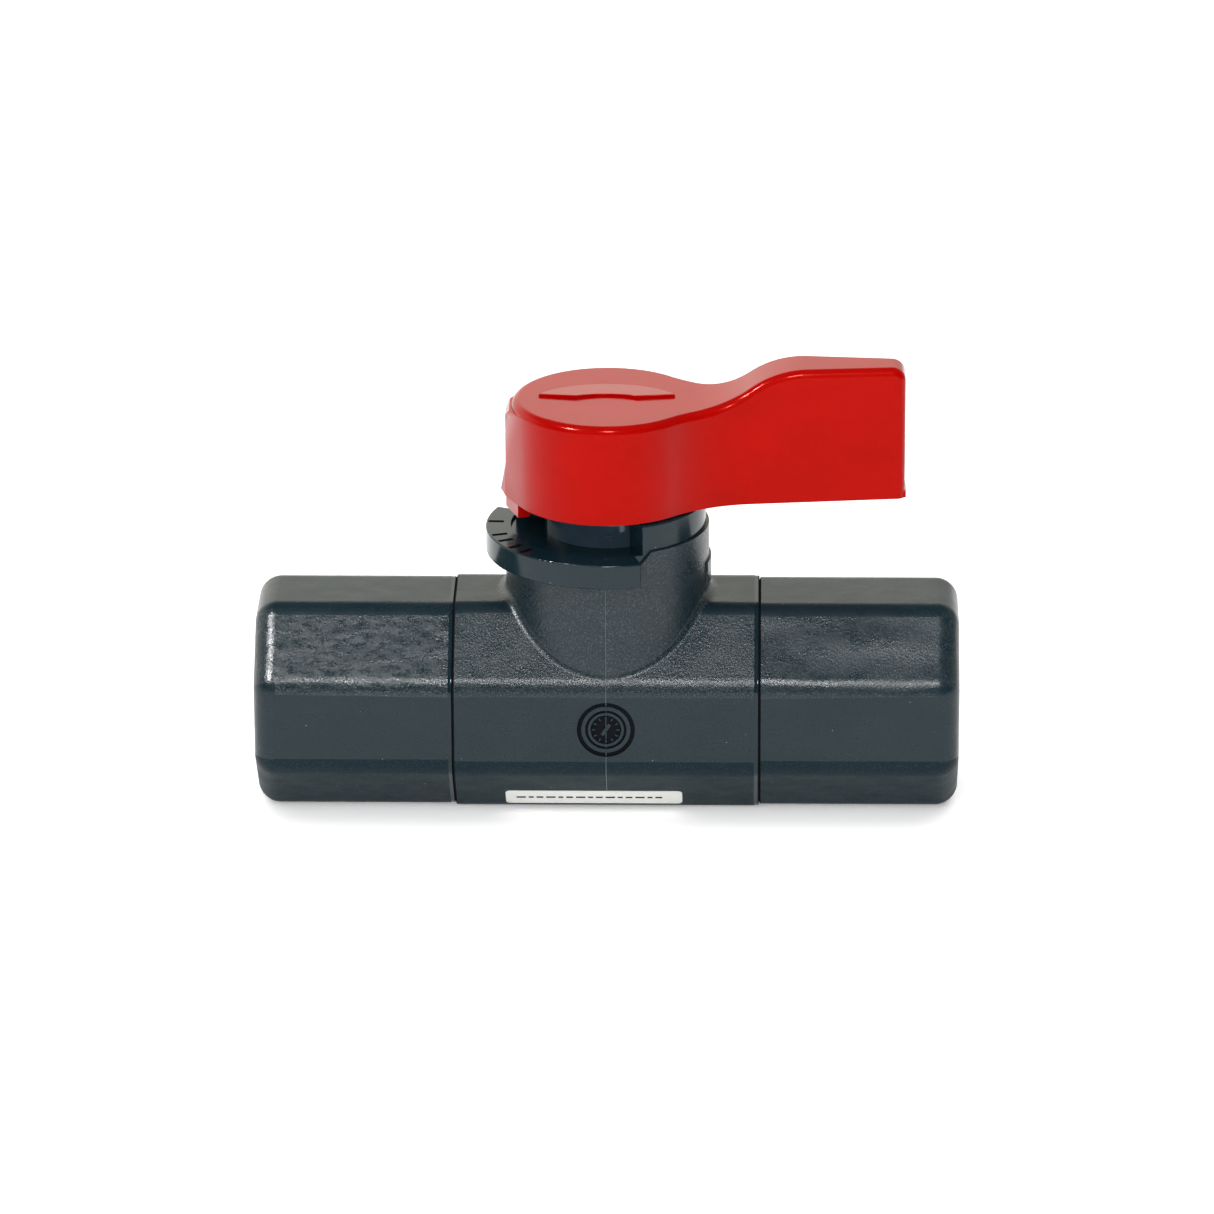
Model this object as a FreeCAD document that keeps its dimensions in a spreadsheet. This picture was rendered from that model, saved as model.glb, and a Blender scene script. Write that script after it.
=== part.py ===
import FreeCAD, Part
import os
import re

import Sketcher
from FreeCAD import Placement, Rotation, Vector

# Inline plastic ball valve with solvent-cement pipe sockets and a quarter-turn lever.
#
# Sizes are in millimetres. The pipe axis runs along X and the stem's axis is Z. The origin is in the
# middle of the body's bottom flat, straight below the ball's centre. Every piece is drawn about the
# ball's centre and lifted to the pipe's height by its Placement. The valve is drawn open, with the
# lever's tail towards +X. Directions round the stem are in degrees, counter-clockwise from +X as seen
# from above.

DRIVING = {
    # Octagonal body and its bore
    "overall_length": (112.0, "valve's length over both sockets"),
    "body_length": (48.5, "centre body's length"),
    "body_wall": (2.4, "centre body's wall between its bore and its flats"),
    "body_corner": (4.2, "radius of the body's long edges"),
    "spigot_wall": (1.85, "wall of the spigot round the pipe socket's floor"),
    "ball_room": (0.6, "radial room round the ball"),
    "badge_radius": (4.6, "radius of the round recess in the front flat"),
    "badge_depth": (0.4, "depth of the round recess"),
    # Pipe sockets
    "socket_wall": (4.0, "socket's wall between its bore and its flats"),
    "end_corner": (4.4, "radius of the socket's long edges"),
    "mouth_edge": (3.6, "radius round the socket's outer end"),
    "seam_gap": (0.06, "gap between body and socket at the seam"),
    "seam_edge": (0.2, "chamfer beside the seam"),
    "socket_radius": (13.15, "radius of the bore that takes the pipe"),
    "socket_depth": (35.0, "depth that the pipe goes in"),
    "mouth_lead": (0.25, "lead-in chamfer at the mouth"),
    "pipe_stop": (3.15, "height of the step that stops the pipe"),
    "bond_gap": (0.05, "radial room for cement round a spigot"),
    # Ball, seats and seals
    "slot_width": (4.4, "width of the tang slot in the ball"),
    "slot_depth": (3.2, "depth of the tang slot below the ball's top"),
    "seat_gap": (0.1, "running gap between ball and seat"),
    "seat_thickness": (4.4, "seat's thickness along the pipe"),
    "seat_lip": (0.3, "how far a seat's hole is wider than the waterway"),
    "seat_room": (0.15, "radial room round a seat"),
    "spigot_gap": (0.4, "gap between a seat's back and the spigot"),
    "cushion_share": (0.18, "radius of a cushion ring's section, as a share of the spigot's wall"),
    "seal_offset": (4.5, "distance of the end seal from the spigot's face"),
    "seal_section": (0.8, "radius of the end seal's section, as squeezed"),
    "groove_room": (0.25, "side room of a ring in its groove"),
    # Stem
    "stem_radius": (5.04, "stem's radius"),
    "stem_fit": (0.06, "radial running clearance of the stem"),
    "flange_lip": (1.96, "how far the flange that keeps the stem in stands out"),
    "flange_thickness": (2.3, "flange's thickness"),
    "flange_room": (0.2, "radial room round the flange"),
    "ball_top_gap": (0.9, "gap between the ball's top and the flange"),
    "thrust_thickness": (0.7, "thrust ring's thickness"),
    "face_gap": (0.05, "gap between faces that turn on each other"),
    "tang_play": (0.15, "room each side of the tang in its slot"),
    "tang_length": (11.0, "tang's length along the slot"),
    "tang_end_gap": (0.3, "room under the tang"),
    "ring_section": (0.7, "radius of a stem seal's section, as squeezed"),
    "ring_depth": (2.4, "height of the lower stem seal above the shoulder"),
    "ring_pitch": (3.2, "distance between the stem seals"),
    "drive_inset": (0.09, "how far the drive square's corners lie inside the stem"),
    "drive_height": (11.4, "height of the square"),
    "notch_depth": (0.55, "depth of the snap notch in the square's corners"),
    "notch_height": (1.5, "height of the snap notch"),
    "notch_drop": (2.2, "distance of the snap notch below the stem's top"),
    # Neck, dial ring and gland bush
    "neck_radius": (16.2, "neck's radius"),
    "ring_cover": (5.0, "height of the neck's ledge above the upper stem seal"),
    "neck_blend": (1.6, "fillet where the neck meets the octagon"),
    "seat_drop": (2.1, "depth of the dial ring's seat below the ledge"),
    "gusset": (2.0, "slope beside the stop face"),
    "web_thickness": (1.0, "thickness of the dial ring's web"),
    "dial_overhang": (3.15, "how far the dial plate stands out from the neck"),
    "dial_thickness": (4.0, "dial plate's thickness at its rim"),
    "dial_step": (0.55, "height of the tick annulus above the web"),
    "dial_start": (157.0, "direction of the dial plate's rear end"),
    "dial_end": (287.0, "direction of the dial plate's front end"),
    "tick_margin": (0.35, "distance of a tick from the dial plate's rim"),
    "tick_length": (2.5, "length of a tick"),
    "tick_width": (0.9, "width of a tick"),
    "tick_depth": (0.4, "depth of a tick"),
    "moulded_edge": (0.25, "rounding of the dial ring's and the gland's edges"),
    "stop_inset": (0.5, "how far the stop wall stands back from the neck"),
    "dial_land": (0.3, "width of the tick annulus inside the stop wall's radius"),
    "stop_height": (4.3, "height of the stop wall above the ledge"),
    "stop_face": (291.9, "direction of the stop face that ends closing"),
    "open_face": (160.0, "direction of the stop face that ends opening"),
    "gland_depth": (0.7, "depth of the gland's sleeve below the dial ring's seat"),
    "gland_sleeve": (8.4, "radius of the gland's sleeve"),
    "gland_collar": (9.9, "radius of the gland's collar"),
    "gland_height": (5.1, "height of the gland's collar"),
    "ring_fit": (0.1, "room between fixed rings"),
    "pad_height": (3.8, "height of the blank marking pad"),
    "pad_drop": (9.5, "distance of the marking pad's lower edge below the ledge"),
    "pad_proud": (0.35, "thickness of the marking pad"),
    "pad_half_span": (14.0, "half of the marking pad's angle round the neck"),
    # Lever
    "hub_radius": (15.1, "hub's radius"),
    "hub_height": (16.2, "hub's height over its rim"),
    "hub_edge": (1.3, "radius of the hub's top edge"),
    "rim_gap": (0.3, "gap between the stop wall and the hub's rim"),
    "lever_wall": (2.0, "wall of the hollow lever"),
    "tail_reach": (47.2, "distance of the tail's end from the stem's axis"),
    "tail_rise": (5.8, "height of the tail's top above the hub's"),
    "tail_lift": (0.35, "rise of the tail's lower edge at its end"),
    "tail_root": (24.0, "distance at which the tail's straight sides start"),
    "tail_root_half": (5.1, "half of the tail's thickness at its root"),
    "tail_tip_half": (3.1, "half of the tail's thickness at its end"),
    "tail_corner": (2.2, "radius of the tail's upper corner"),
    "sweep_radius": (20.0, "radius of the hollow between hub and tail, seen from above"),
    "wave_start": (13.6, "distance at which the top starts to rise"),
    "wave_length": (18.0, "length of the rise"),
    "boss_wall": (1.86, "how far the boss stands out from the stem"),
    "drive_fit": (0.05, "room each side of the square"),
    "boss_gap": (0.4, "gap between the boss and the gland"),
    "lever_rib": (1.6, "thickness of the ribs inside the hub"),
    "lug_drop": (2.2, "depth of the stop lug below the rim"),
    "stop_slack": (0.3, "angle left between lug and stop face"),
    "travel": (90.0, "lever's turn from open to closed"),
    "nose_overhang": (1.8, "how far the pointer's tip stands out from the hub"),
    "nose_step": (1.0, "how far the pointer's upright front stands out"),
    "nose_tip": (0.75, "height of the pointer's tip above the rim"),
    "nose_flare": (5.2, "height above the rim at which the pointer flares"),
    "nose_top": (13.7, "height above the rim at which the pointer slopes back"),
    "mark_half": (10.8, "half of the raised mark's length"),
    "mark_bump": (4.8, "half of the width of the bump in the mark's front"),
    "mark_dip": (0.85, "how far the bump's feet stand forward"),
    "mark_crown": (0.2, "how far the bump's crown stands back"),
    "mark_back": (6.1, "distance of the mark's rear edge behind the axis"),
    "mark_proud": (0.5, "height of the mark's front"),
    # Label
    "label_length": (28.2, "label's length"),
    "label_left": (16.2, "distance of the label's left edge from the ball's centre"),
    "label_width": (4.9, "label's width across the slope"),
    "label_low": (5.4, "distance of the label's lower edge below the slope's middle"),
    "label_film": (0.1, "label's thickness"),
    "label_corner": (0.8, "radius of the label's corners"),
}

DERIVED = {
    "body_bore": "socket_radius + spigot_wall",
    "waterway": "socket_radius - pipe_stop",
    "body_flats": "2 * (body_bore + body_wall)",
    "end_flats": "2 * (socket_radius + socket_wall)",
    "axis_height": "body_flats / 2",
    "half_body": "body_length / 2",
    "half_valve": "overall_length / 2",
    "end_start": "half_body + seam_gap",
    "socket_floor": "half_valve - socket_depth",
    "ball_radius": "body_bore - ball_room",
    "seat_front": "ball_radius / 2",
    "seat_back": "seat_front + seat_thickness",
    "seat_hole": "waterway + seat_lip",
    "cushion_radius": "(waterway + body_bore) / 2",
    "cushion_section": "(body_bore - waterway) * cushion_share",
    "spigot_face": "seat_back + spigot_gap",
    "spigot_radius": "body_bore - bond_gap",
    "seal_middle": "spigot_face + seal_offset",
    "seal_floor": "spigot_radius - 2 * seal_section",
    "seal_half": "seal_section + groove_room",
    "cushion_middle": "seat_back + cushion_section",
    "cushion_half": "cushion_section + groove_room",
    "slot_floor": "ball_radius - slot_depth",
    "flange_low": "ball_radius + ball_top_gap",
    "flange_high": "flange_low + flange_thickness",
    "shoulder": "flange_high + thrust_thickness + 2 * face_gap",
    "flange_radius": "stem_radius + flange_lip",
    "drive_side": "sqrt(2) * (stem_radius - drive_inset)",
    "boss_radius": "stem_radius + boss_wall",
    "stem_bore": "stem_radius + stem_fit",
    "ring_middle": "stem_radius - ring_section",
    "ring_floor": "stem_radius - 2 * ring_section",
    "ring_half": "ring_section + groove_room",
    "lower_ring_height": "shoulder + ring_depth",
    "upper_ring_height": "lower_ring_height + ring_pitch",
    "neck_height": "upper_ring_height + ring_cover",
    "pad_low": "neck_height - pad_drop",
    "ring_seat": "neck_height - seat_drop",
    "web_top": "ring_seat + web_thickness",
    "gland_low": "ring_seat - gland_depth",
    "gland_top": "web_top + gland_height",
    "stem_shoulder": "gland_top + face_gap",
    "stem_top": "stem_shoulder + drive_height",
    "notch_top": "stem_top - notch_drop",
    "notch_radius": "drive_side / sqrt(2) - notch_depth",
    "dial_radius": "neck_radius + dial_overhang",
    "stop_radius": "neck_radius - stop_inset",
    "dial_inner": "stop_radius - dial_land",
    "tick_inner": "dial_radius - tick_margin - tick_length",
    "dial_top": "web_top + dial_step",
    "stop_top": "neck_height + stop_height",
    "rim": "stop_top + rim_gap",
    "nose_reach": "hub_radius + nose_overhang",
    "nose_flat": "hub_radius + nose_step",
    "hub_top": "rim + hub_height",
    "hub_ceiling": "hub_top - lever_wall",
    "tail_top": "hub_top + tail_rise",
    "boss_low": "gland_top + boss_gap",
    "lug_low": "rim - lug_drop",
    "lug_start": "open_face + stop_slack",
    "lug_end": "stop_face - travel - stop_slack",
    "rib_start": "(boss_radius + drive_side / 2) / 2",
    "clear": "overall_length",
}

TICK_DIRECTIONS = (177.5, 197.0, 206.0, 216.5, 225.0)
RIB_DIRECTIONS = (0.0, 90.0, 180.0, 270.0)
ALONG_PIPE = Rotation(Vector(0, 1, 0), 90)
OCTAGON_TURN = Rotation(Vector(0, 0, 1), 22.5)
SLOPE_TURN = Rotation(Vector(1, 0, 0), 135)
ANY_TURN = Rotation(Vector(0, 0, 1), 1)    # names the stem's axis before a direction is bound
TOUCH = 1e-4

doc = FreeCAD.newDocument("ball_valve")
sheet = doc.addObject("Spreadsheet::Sheet", "sizes")
for row, (alias, (size, note)) in enumerate(DRIVING.items(), start=1):
    sheet.set(f"A{row}", note)
    sheet.set(f"B{row}", str(size))
    sheet.setAlias(f"B{row}", alias)
doc.recompute()


def cells(formula):
    """Turn a formula in plain size names into one that names the sheet's cells."""
    def swap(match):
        name = match.group(0)
        if name in DERIVED:
            return "(" + cells(DERIVED[name]) + ")"
        return "sizes." + name if name in DRIVING else name
    return re.sub(r"[a-z_]+", swap, str(formula))


def number(formula):
    """The present value of a formula."""
    worth = sheet.evalExpression(cells(formula))
    return float(getattr(worth, "Value", worth))


def bind(thing, **formulas):
    """Tie properties of an object to formulas. In a name, two underscores stand for a dot."""
    for name, formula in formulas.items():
        thing.setExpression(name.replace("__", "."), cells(formula))


def new_body(label):
    """A PartDesign body about the ball's centre."""
    body = doc.addObject("PartDesign::Body", label)
    body.Label = label
    bind(body, Placement__Base__z="axis_height")
    return body


def primitive(body, kind, name, turn=Rotation(), **formulas):
    """An additive or subtractive primitive of a body, with its sizes and place bound."""
    feature = body.newObject("PartDesign::" + kind, name)
    feature.Placement = Placement(Vector(), turn)
    bind(feature, **formulas)
    doc.recompute()
    return feature


def sector(body, kind, name, radius, low, high, start, end):
    """A cylinder's sector about the stem's axis, between two heights and two directions."""
    return primitive(body, kind + "Cylinder", name, ANY_TURN, Radius=radius, Height=f"{high} - ({low})",
                     Angle=f"{end} - ({start})", Placement__Base__z=low, Placement__Rotation__Angle=start)


def spoke(body, kind, name, direction, size, start, low):
    """A box that points outwards along a direction, from a distance off the stem's axis."""
    length, width, height = size
    along, across = f"cos({direction})", f"sin({direction})"
    return primitive(body, kind + "Box", name, Rotation(Vector(0, 0, 1), direction),
                     Length=length, Width=width, Height=height,
                     Placement__Base__x=f"{start} * {along} + {width} / 2 * {across}",
                     Placement__Base__y=f"{start} * {across} - {width} / 2 * {along}",
                     Placement__Base__z=low)


def disc(body, kind, name, radius, low, high):
    """A cylinder about the stem's axis, between two heights."""
    return primitive(body, kind + "Cylinder", name, Radius=radius, Height=f"{high} - ({low})",
                     Placement__Base__z=low)


def block(body, kind, name, size, centre, low):
    """A box about the stem's axis: its size, its middle in X and Y, and its lower face."""
    return primitive(body, kind + "Box", name, Length=size[0], Width=size[1], Height=size[2],
                     Placement__Base__x=f"{centre[0]} - ({size[0]}) / 2",
                     Placement__Base__y=f"{centre[1]} - ({size[1]}) / 2", Placement__Base__z=low)


def octagon(body, flats, corner, start, end):
    """An octagonal bar along the pipe with a flat on top and rounded long edges."""
    bar = primitive(body, "AdditivePrism", "octagon", ALONG_PIPE * OCTAGON_TURN,
                    Circumradius=f"{flats} / 2 / cos(22.5)", Height=f"{end} - ({start})",
                    Placement__Base__x=start)
    bar.Polygon = 8
    doc.recompute()
    long_edges = [edge for edge in edge_names(bar) if runs_along_pipe(bar.Shape.getElement(edge))]
    return round_edges(body, "Fillet", "long_edges", bar, long_edges, Radius=corner)


def edge_names(feature):
    """The names of a feature's edges."""
    return [f"Edge{count}" for count in range(1, len(feature.Shape.Edges) + 1)]


def runs_along_pipe(edge):
    """Whether an edge is straight and parallel to the pipe."""
    first, last = edge.Vertexes[0].Point, edge.Vertexes[-1].Point
    return abs(first.y - last.y) < TOUCH and abs(first.z - last.z) < TOUCH


def lies_at(edge, axis, place):
    """Whether an edge lies wholly in a plane across one axis."""
    box = edge.BoundBox
    low, high = getattr(box, axis + "Min"), getattr(box, axis + "Max")
    return abs(low - place) < TOUCH and abs(high - place) < TOUCH


def round_edges(body, kind, name, base, names, **formulas):
    """A fillet or chamfer on chosen edges of a feature."""
    feature = body.newObject("PartDesign::" + kind, name)
    feature.Base = (base, names)
    bind(feature, **formulas)
    doc.recompute()
    return feature


def origin_plane(body, role):
    """One of a body's own origin planes."""
    return next(item for item in body.Origin.OriginFeatures if item.Role == role)


def outline(body, name, role, corners, height="0"):
    """A closed sketch through corners, each a pair of formulas with an arc's radius or None.

    The third value of a corner belongs to the edge that leaves it: None for a straight edge, or the
    radius of an arc, positive where the arc turns left and negative where it turns right.
    """
    sketch = body.newObject("Sketcher::SketchObject", name)
    sketch.AttachmentSupport = [(origin_plane(body, role), "")]
    sketch.MapMode = "FlatFace"
    bind(sketch, AttachmentOffset__Base__z=height)
    spots = [Vector(number(corner[0]), number(corner[1]), 0) for corner in corners]
    heads = []
    for count, corner in enumerate(corners):
        begin, finish = spots[count], spots[(count + 1) % len(spots)]
        bend = corner[2] if len(corner) > 2 else None
        if bend is None:
            sketch.addGeometry(Part.LineSegment(begin, finish), False)
            heads.append((1, 2))
        else:
            sketch.addGeometry(arc_between(begin, finish, number(bend)), False)
            heads.append((1, 2) if number(bend) > 0 else (2, 1))
    for count, (first, last) in enumerate(heads):
        following = (count + 1) % len(heads)
        joint = Sketcher.Constraint("Coincident", count, last, following, heads[following][0])
        sketch.addConstraint(joint)
    for count, corner in enumerate(corners):
        head = heads[count][0]
        for kind, formula, axis in (("DistanceX", corner[0], -2), ("DistanceY", corner[1], -1)):
            if formula == "0":
                sketch.addConstraint(Sketcher.Constraint("PointOnObject", count, head, axis))
            else:
                tie(sketch, Sketcher.Constraint(kind, -1, 1, count, head, number(formula)), formula)
        if len(corner) > 2 and corner[2] is not None:
            bend = corner[2].lstrip("-")
            tie(sketch, Sketcher.Constraint("Radius", count, number(bend)), bend)
    doc.recompute()
    return sketch


def tie(sketch, constraint, formula):
    """Add a constraint to a sketch and bind its value."""
    place = sketch.addConstraint(constraint)
    sketch.setExpression(f"Constraints[{place}]", cells(formula))


def arc_between(begin, finish, bend):
    """The shorter arc from one point to another, turning left where bend is positive."""
    chord = finish - begin
    side = 1 if bend > 0 else -1
    reach = (bend ** 2 - (chord.Length / 2) ** 2) ** 0.5
    across = Vector(-chord.y, chord.x, 0).normalize() * side
    centre = (begin + finish) * 0.5 + across * reach
    circle = Part.Circle(centre, Vector(0, 0, 1), abs(bend))
    ends = [circle.parameter(begin), circle.parameter(finish)][::side]
    return Part.ArcOfCircle(circle, *ends)


def sweep_round(body, kind, name, sketch, axis):
    """A full Revolution or Groove of a sketch about its H_Axis or V_Axis."""
    feature = body.newObject("PartDesign::" + kind, name)
    feature.Profile = sketch
    feature.ReferenceAxis = (sketch, [axis])
    feature.Angle = 360
    doc.recompute()
    return feature


def box_corners(left, right, low, high):
    """The corners of a rectangle."""
    return [(left, low), (right, low), (right, high), (left, high)]


def extrude(body, kind, name, sketch, **formulas):
    """A Pad or a Pocket of a sketch, with its length bound."""
    feature = body.newObject("PartDesign::" + kind, name)
    feature.Profile = sketch
    bind(feature, **formulas)
    return feature


def make_valve_body():
    """Octagonal centre body with its neck, the ball's bore and the stem's bore."""
    body = new_body("valve_body")
    bar = octagon(body, "body_flats", "body_corner", "-half_body", "half_body")
    ends = [name for name in edge_names(bar) for side in ("half_body", "-half_body")
            if lies_at(bar.Shape.getElement(name), "X", number(side))]
    round_edges(body, "Chamfer", "seam_edges", bar, ends, Size="seam_edge")
    neck = disc(body, "Additive", "neck", "neck_radius", "0", "neck_height")
    foot = [name for name in edge_names(neck) if is_neck_foot(neck.Shape.getElement(name))]
    round_edges(body, "Fillet", "neck_foot", neck, foot, Radius="neck_blend")
    sector(body, "Additive", "marking_pad", "neck_radius + pad_proud", "pad_low", "pad_low + pad_height",
           "-pad_half_span", "pad_half_span")
    primitive(body, "SubtractiveCylinder", "ball_bore", ALONG_PIPE, Radius="body_bore",
              Height="body_length", Placement__Base__x="-half_body")
    passage = outline(body, "stem_passage", "XZ_Plane", [
        ("0", "0"), ("flange_radius + flange_room", "0"), ("flange_radius + flange_room", "shoulder"),
        ("stem_bore", "shoulder"), ("stem_bore", "gland_low"),
        ("gland_sleeve + bond_gap", "gland_low"), ("gland_sleeve + bond_gap", "neck_height"),
        ("0", "neck_height")])
    sweep_round(body, "Groove", "stem_bore", passage, "V_Axis")
    disc(body, "Subtractive", "collar_recess", "gland_collar + ring_fit", "ring_seat", "neck_height")
    seat = sector(body, "Subtractive", "dial_seat", "neck_radius + neck_blend", "ring_seat",
                  "neck_height + pad_proud", "open_face - gusset", "stop_face - gusset")
    face = [name for name in edge_names(seat) if is_gusset_edge(seat.Shape.getElement(name))]
    round_edges(body, "Chamfer", "gusset_slope", seat, face, Size="gusset")
    primitive(body, "SubtractiveCylinder", "badge_recess", Rotation(Vector(1, 0, 0), 90),
              Radius="badge_radius", Height="clear", Placement__Base__y="badge_depth - axis_height")
    return body


def is_neck_foot(edge):
    """Whether an edge belongs to the curve where the neck meets the octagon."""
    radii = [vertex.Point.sub(Vector(0, 0, vertex.Point.z)).Length for vertex in edge.Vertexes]
    round_neck = all(abs(radius - number("neck_radius")) < TOUCH for radius in radii)
    box = edge.BoundBox
    upright = box.XLength < TOUCH and box.YLength < TOUCH
    return round_neck and not upright and 0 < box.ZMin and box.ZMax < number("neck_height") - TOUCH


def is_gusset_edge(edge):
    """Whether an edge is the top of the ledge's front end, beside the stop face."""
    middle = edge.CenterOfMass
    across = edge.BoundBox.ZLength < TOUCH and abs(middle.z - number("neck_height")) < TOUCH
    return across and len(edge.Vertexes) == 2 and edge.Curve.TypeId == "Part::GeomLine" and middle.y < 0


def make_end_socket(label, turn):
    """Octagonal pipe socket with its spigot, grooved for the end seal and the seat's cushion."""
    body = new_body(label)
    body.Placement = Placement(Vector(), Rotation(Vector(0, 0, 1), turn))
    bar = octagon(body, "end_flats", "end_corner", "end_start", "half_valve")
    mouth = [name for name in edge_names(bar)
             if lies_at(bar.Shape.getElement(name), "X", number("half_valve"))]
    rounded = round_edges(body, "Fillet", "mouth_edge", bar, mouth, Radius="mouth_edge")
    inner = [name for name in edge_names(rounded)
             if lies_at(rounded.Shape.getElement(name), "X", number("end_start"))]
    round_edges(body, "Chamfer", "seam_edges", rounded, inner, Size="seam_edge")
    primitive(body, "AdditiveCylinder", "spigot", ALONG_PIPE, Radius="spigot_radius",
              Height="end_start - spigot_face + seam_edge", Placement__Base__x="spigot_face")
    bore = outline(body, "bore_profile", "XZ_Plane", [
        ("spigot_face", "0"), ("half_valve", "0"), ("half_valve", "socket_radius + mouth_lead"),
        ("half_valve - mouth_lead", "socket_radius"), ("socket_floor", "socket_radius"),
        ("socket_floor", "waterway"), ("spigot_face", "waterway")])
    sweep_round(body, "Groove", "pipe_bore", bore, "H_Axis")
    seal = outline(body, "seal_profile", "XZ_Plane", box_corners(
        "seal_middle - seal_half", "seal_middle + seal_half", "seal_floor", "body_bore"))
    sweep_round(body, "Groove", "seal_groove", seal, "H_Axis")
    cushion = outline(body, "cushion_profile", "XZ_Plane", box_corners(
        "spigot_face", "cushion_middle + cushion_section", "cushion_radius - cushion_half",
        "cushion_radius + cushion_half"))
    sweep_round(body, "Groove", "cushion_groove", cushion, "H_Axis")
    return body


def make_dial_ring(neck):
    """Dial plate, stop wall and web in one ring, seated on the neck's stepped top."""
    blank = new_body("dial_blank")
    disc(blank, "Additive", "stop_wall", "stop_radius", "ring_seat", "stop_top")
    sector(blank, "Subtractive", "lug_sweep", "dial_radius", "dial_top", "stop_top",
           "open_face", "stop_face")
    plate = sector(blank, "Additive", "dial_plate", "dial_radius", "dial_top - dial_thickness", "dial_top",
                   "dial_start", "dial_end")
    rounded = [name for name in edge_names(plate) if is_dial_edge(plate.Shape.getElement(name))]
    round_edges(blank, "Fillet", "dial_edges", plate, rounded, Radius="moulded_edge")
    sector(blank, "Subtractive", "web_recess", "dial_inner", "web_top", "dial_top + clear",
           "open_face", "stop_face")
    disc(blank, "Subtractive", "neck_room", "neck_radius + ring_fit", "dial_top - dial_thickness",
         "ring_seat")
    disc(blank, "Subtractive", "sleeve_hole", "gland_sleeve + bond_gap", "ring_seat", "web_top")
    disc(blank, "Subtractive", "collar_hole", "gland_collar + ring_fit", "web_top", "stop_top")
    for count, direction in enumerate(TICK_DIRECTIONS):
        spoke(blank, "Subtractive", f"tick_{count}", direction,
              ("tick_length", "tick_width", "(tick_depth + clear)"), "tick_inner", "dial_top - tick_depth")
    return boolean("Cut", "dial_ring", blank, neck)


def is_dial_edge(edge):
    """Whether an edge lies on the dial plate's rim or along the stop wall's top."""
    spread = [Vector(vertex.X, vertex.Y, 0).Length for vertex in edge.Vertexes]
    on_rim = all(abs(radius - number("dial_radius")) < TOUCH for radius in spread)
    on_wall = all(abs(radius - number("stop_radius")) < TOUCH for radius in spread)
    return on_rim or (on_wall and lies_at(edge, "Z", number("stop_top")))


def boolean(kind, label, base, tool):
    """A Part boolean of two objects."""
    result = doc.addObject("Part::" + kind, label)
    result.Label = label
    result.Base = base
    result.Tool = tool
    return result


def make_gland_bush():
    """Collar that guides the stem's top and holds the dial ring down."""
    body = new_body("gland_bush")
    profile = outline(body, "bush_profile", "XZ_Plane", [
        ("stem_bore", "gland_low"), ("gland_sleeve", "gland_low"), ("gland_sleeve", "web_top"),
        ("gland_collar", "web_top"), ("gland_collar", "gland_top - moulded_edge", "moulded_edge"),
        ("gland_collar - moulded_edge", "gland_top"), ("stem_bore", "gland_top")])
    sweep_round(body, "Revolution", "bush", profile, "V_Axis")
    return body


def make_stem():
    """Stem with its tang, flange, two ring grooves and the notched square that drives the lever."""
    body = new_body("stem")
    grooves = []
    for middle in ("lower_ring_height", "upper_ring_height"):
        grooves += [("stem_radius", f"{middle} - ring_half"), ("ring_floor", f"{middle} - ring_half"),
                    ("ring_floor", f"{middle} + ring_half"), ("stem_radius", f"{middle} + ring_half")]
    profile = outline(body, "stem_profile", "XZ_Plane", [
        ("0", "flange_low"), ("flange_radius", "flange_low"), ("flange_radius", "flange_high"),
        ("stem_radius", "flange_high"), *grooves, ("stem_radius", "stem_shoulder"),
        ("0", "stem_shoulder")])
    sweep_round(body, "Revolution", "shaft", profile, "V_Axis")
    block(body, "Additive", "tang", ("slot_width - 2 * tang_play", "tang_length",
                                     "flange_high - slot_floor - tang_end_gap"),
          ("0", "0"), "slot_floor + tang_end_gap")
    block(body, "Additive", "drive_square", ("drive_side", "drive_side", "drive_height"), ("0", "0"),
          "stem_shoulder")
    notch = outline(body, "notch_profile", "XZ_Plane", box_corners(
        "notch_radius", "stem_radius", "notch_top - notch_height", "notch_top"))
    sweep_round(body, "Groove", "snap_notch", notch, "V_Axis")
    return body


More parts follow.
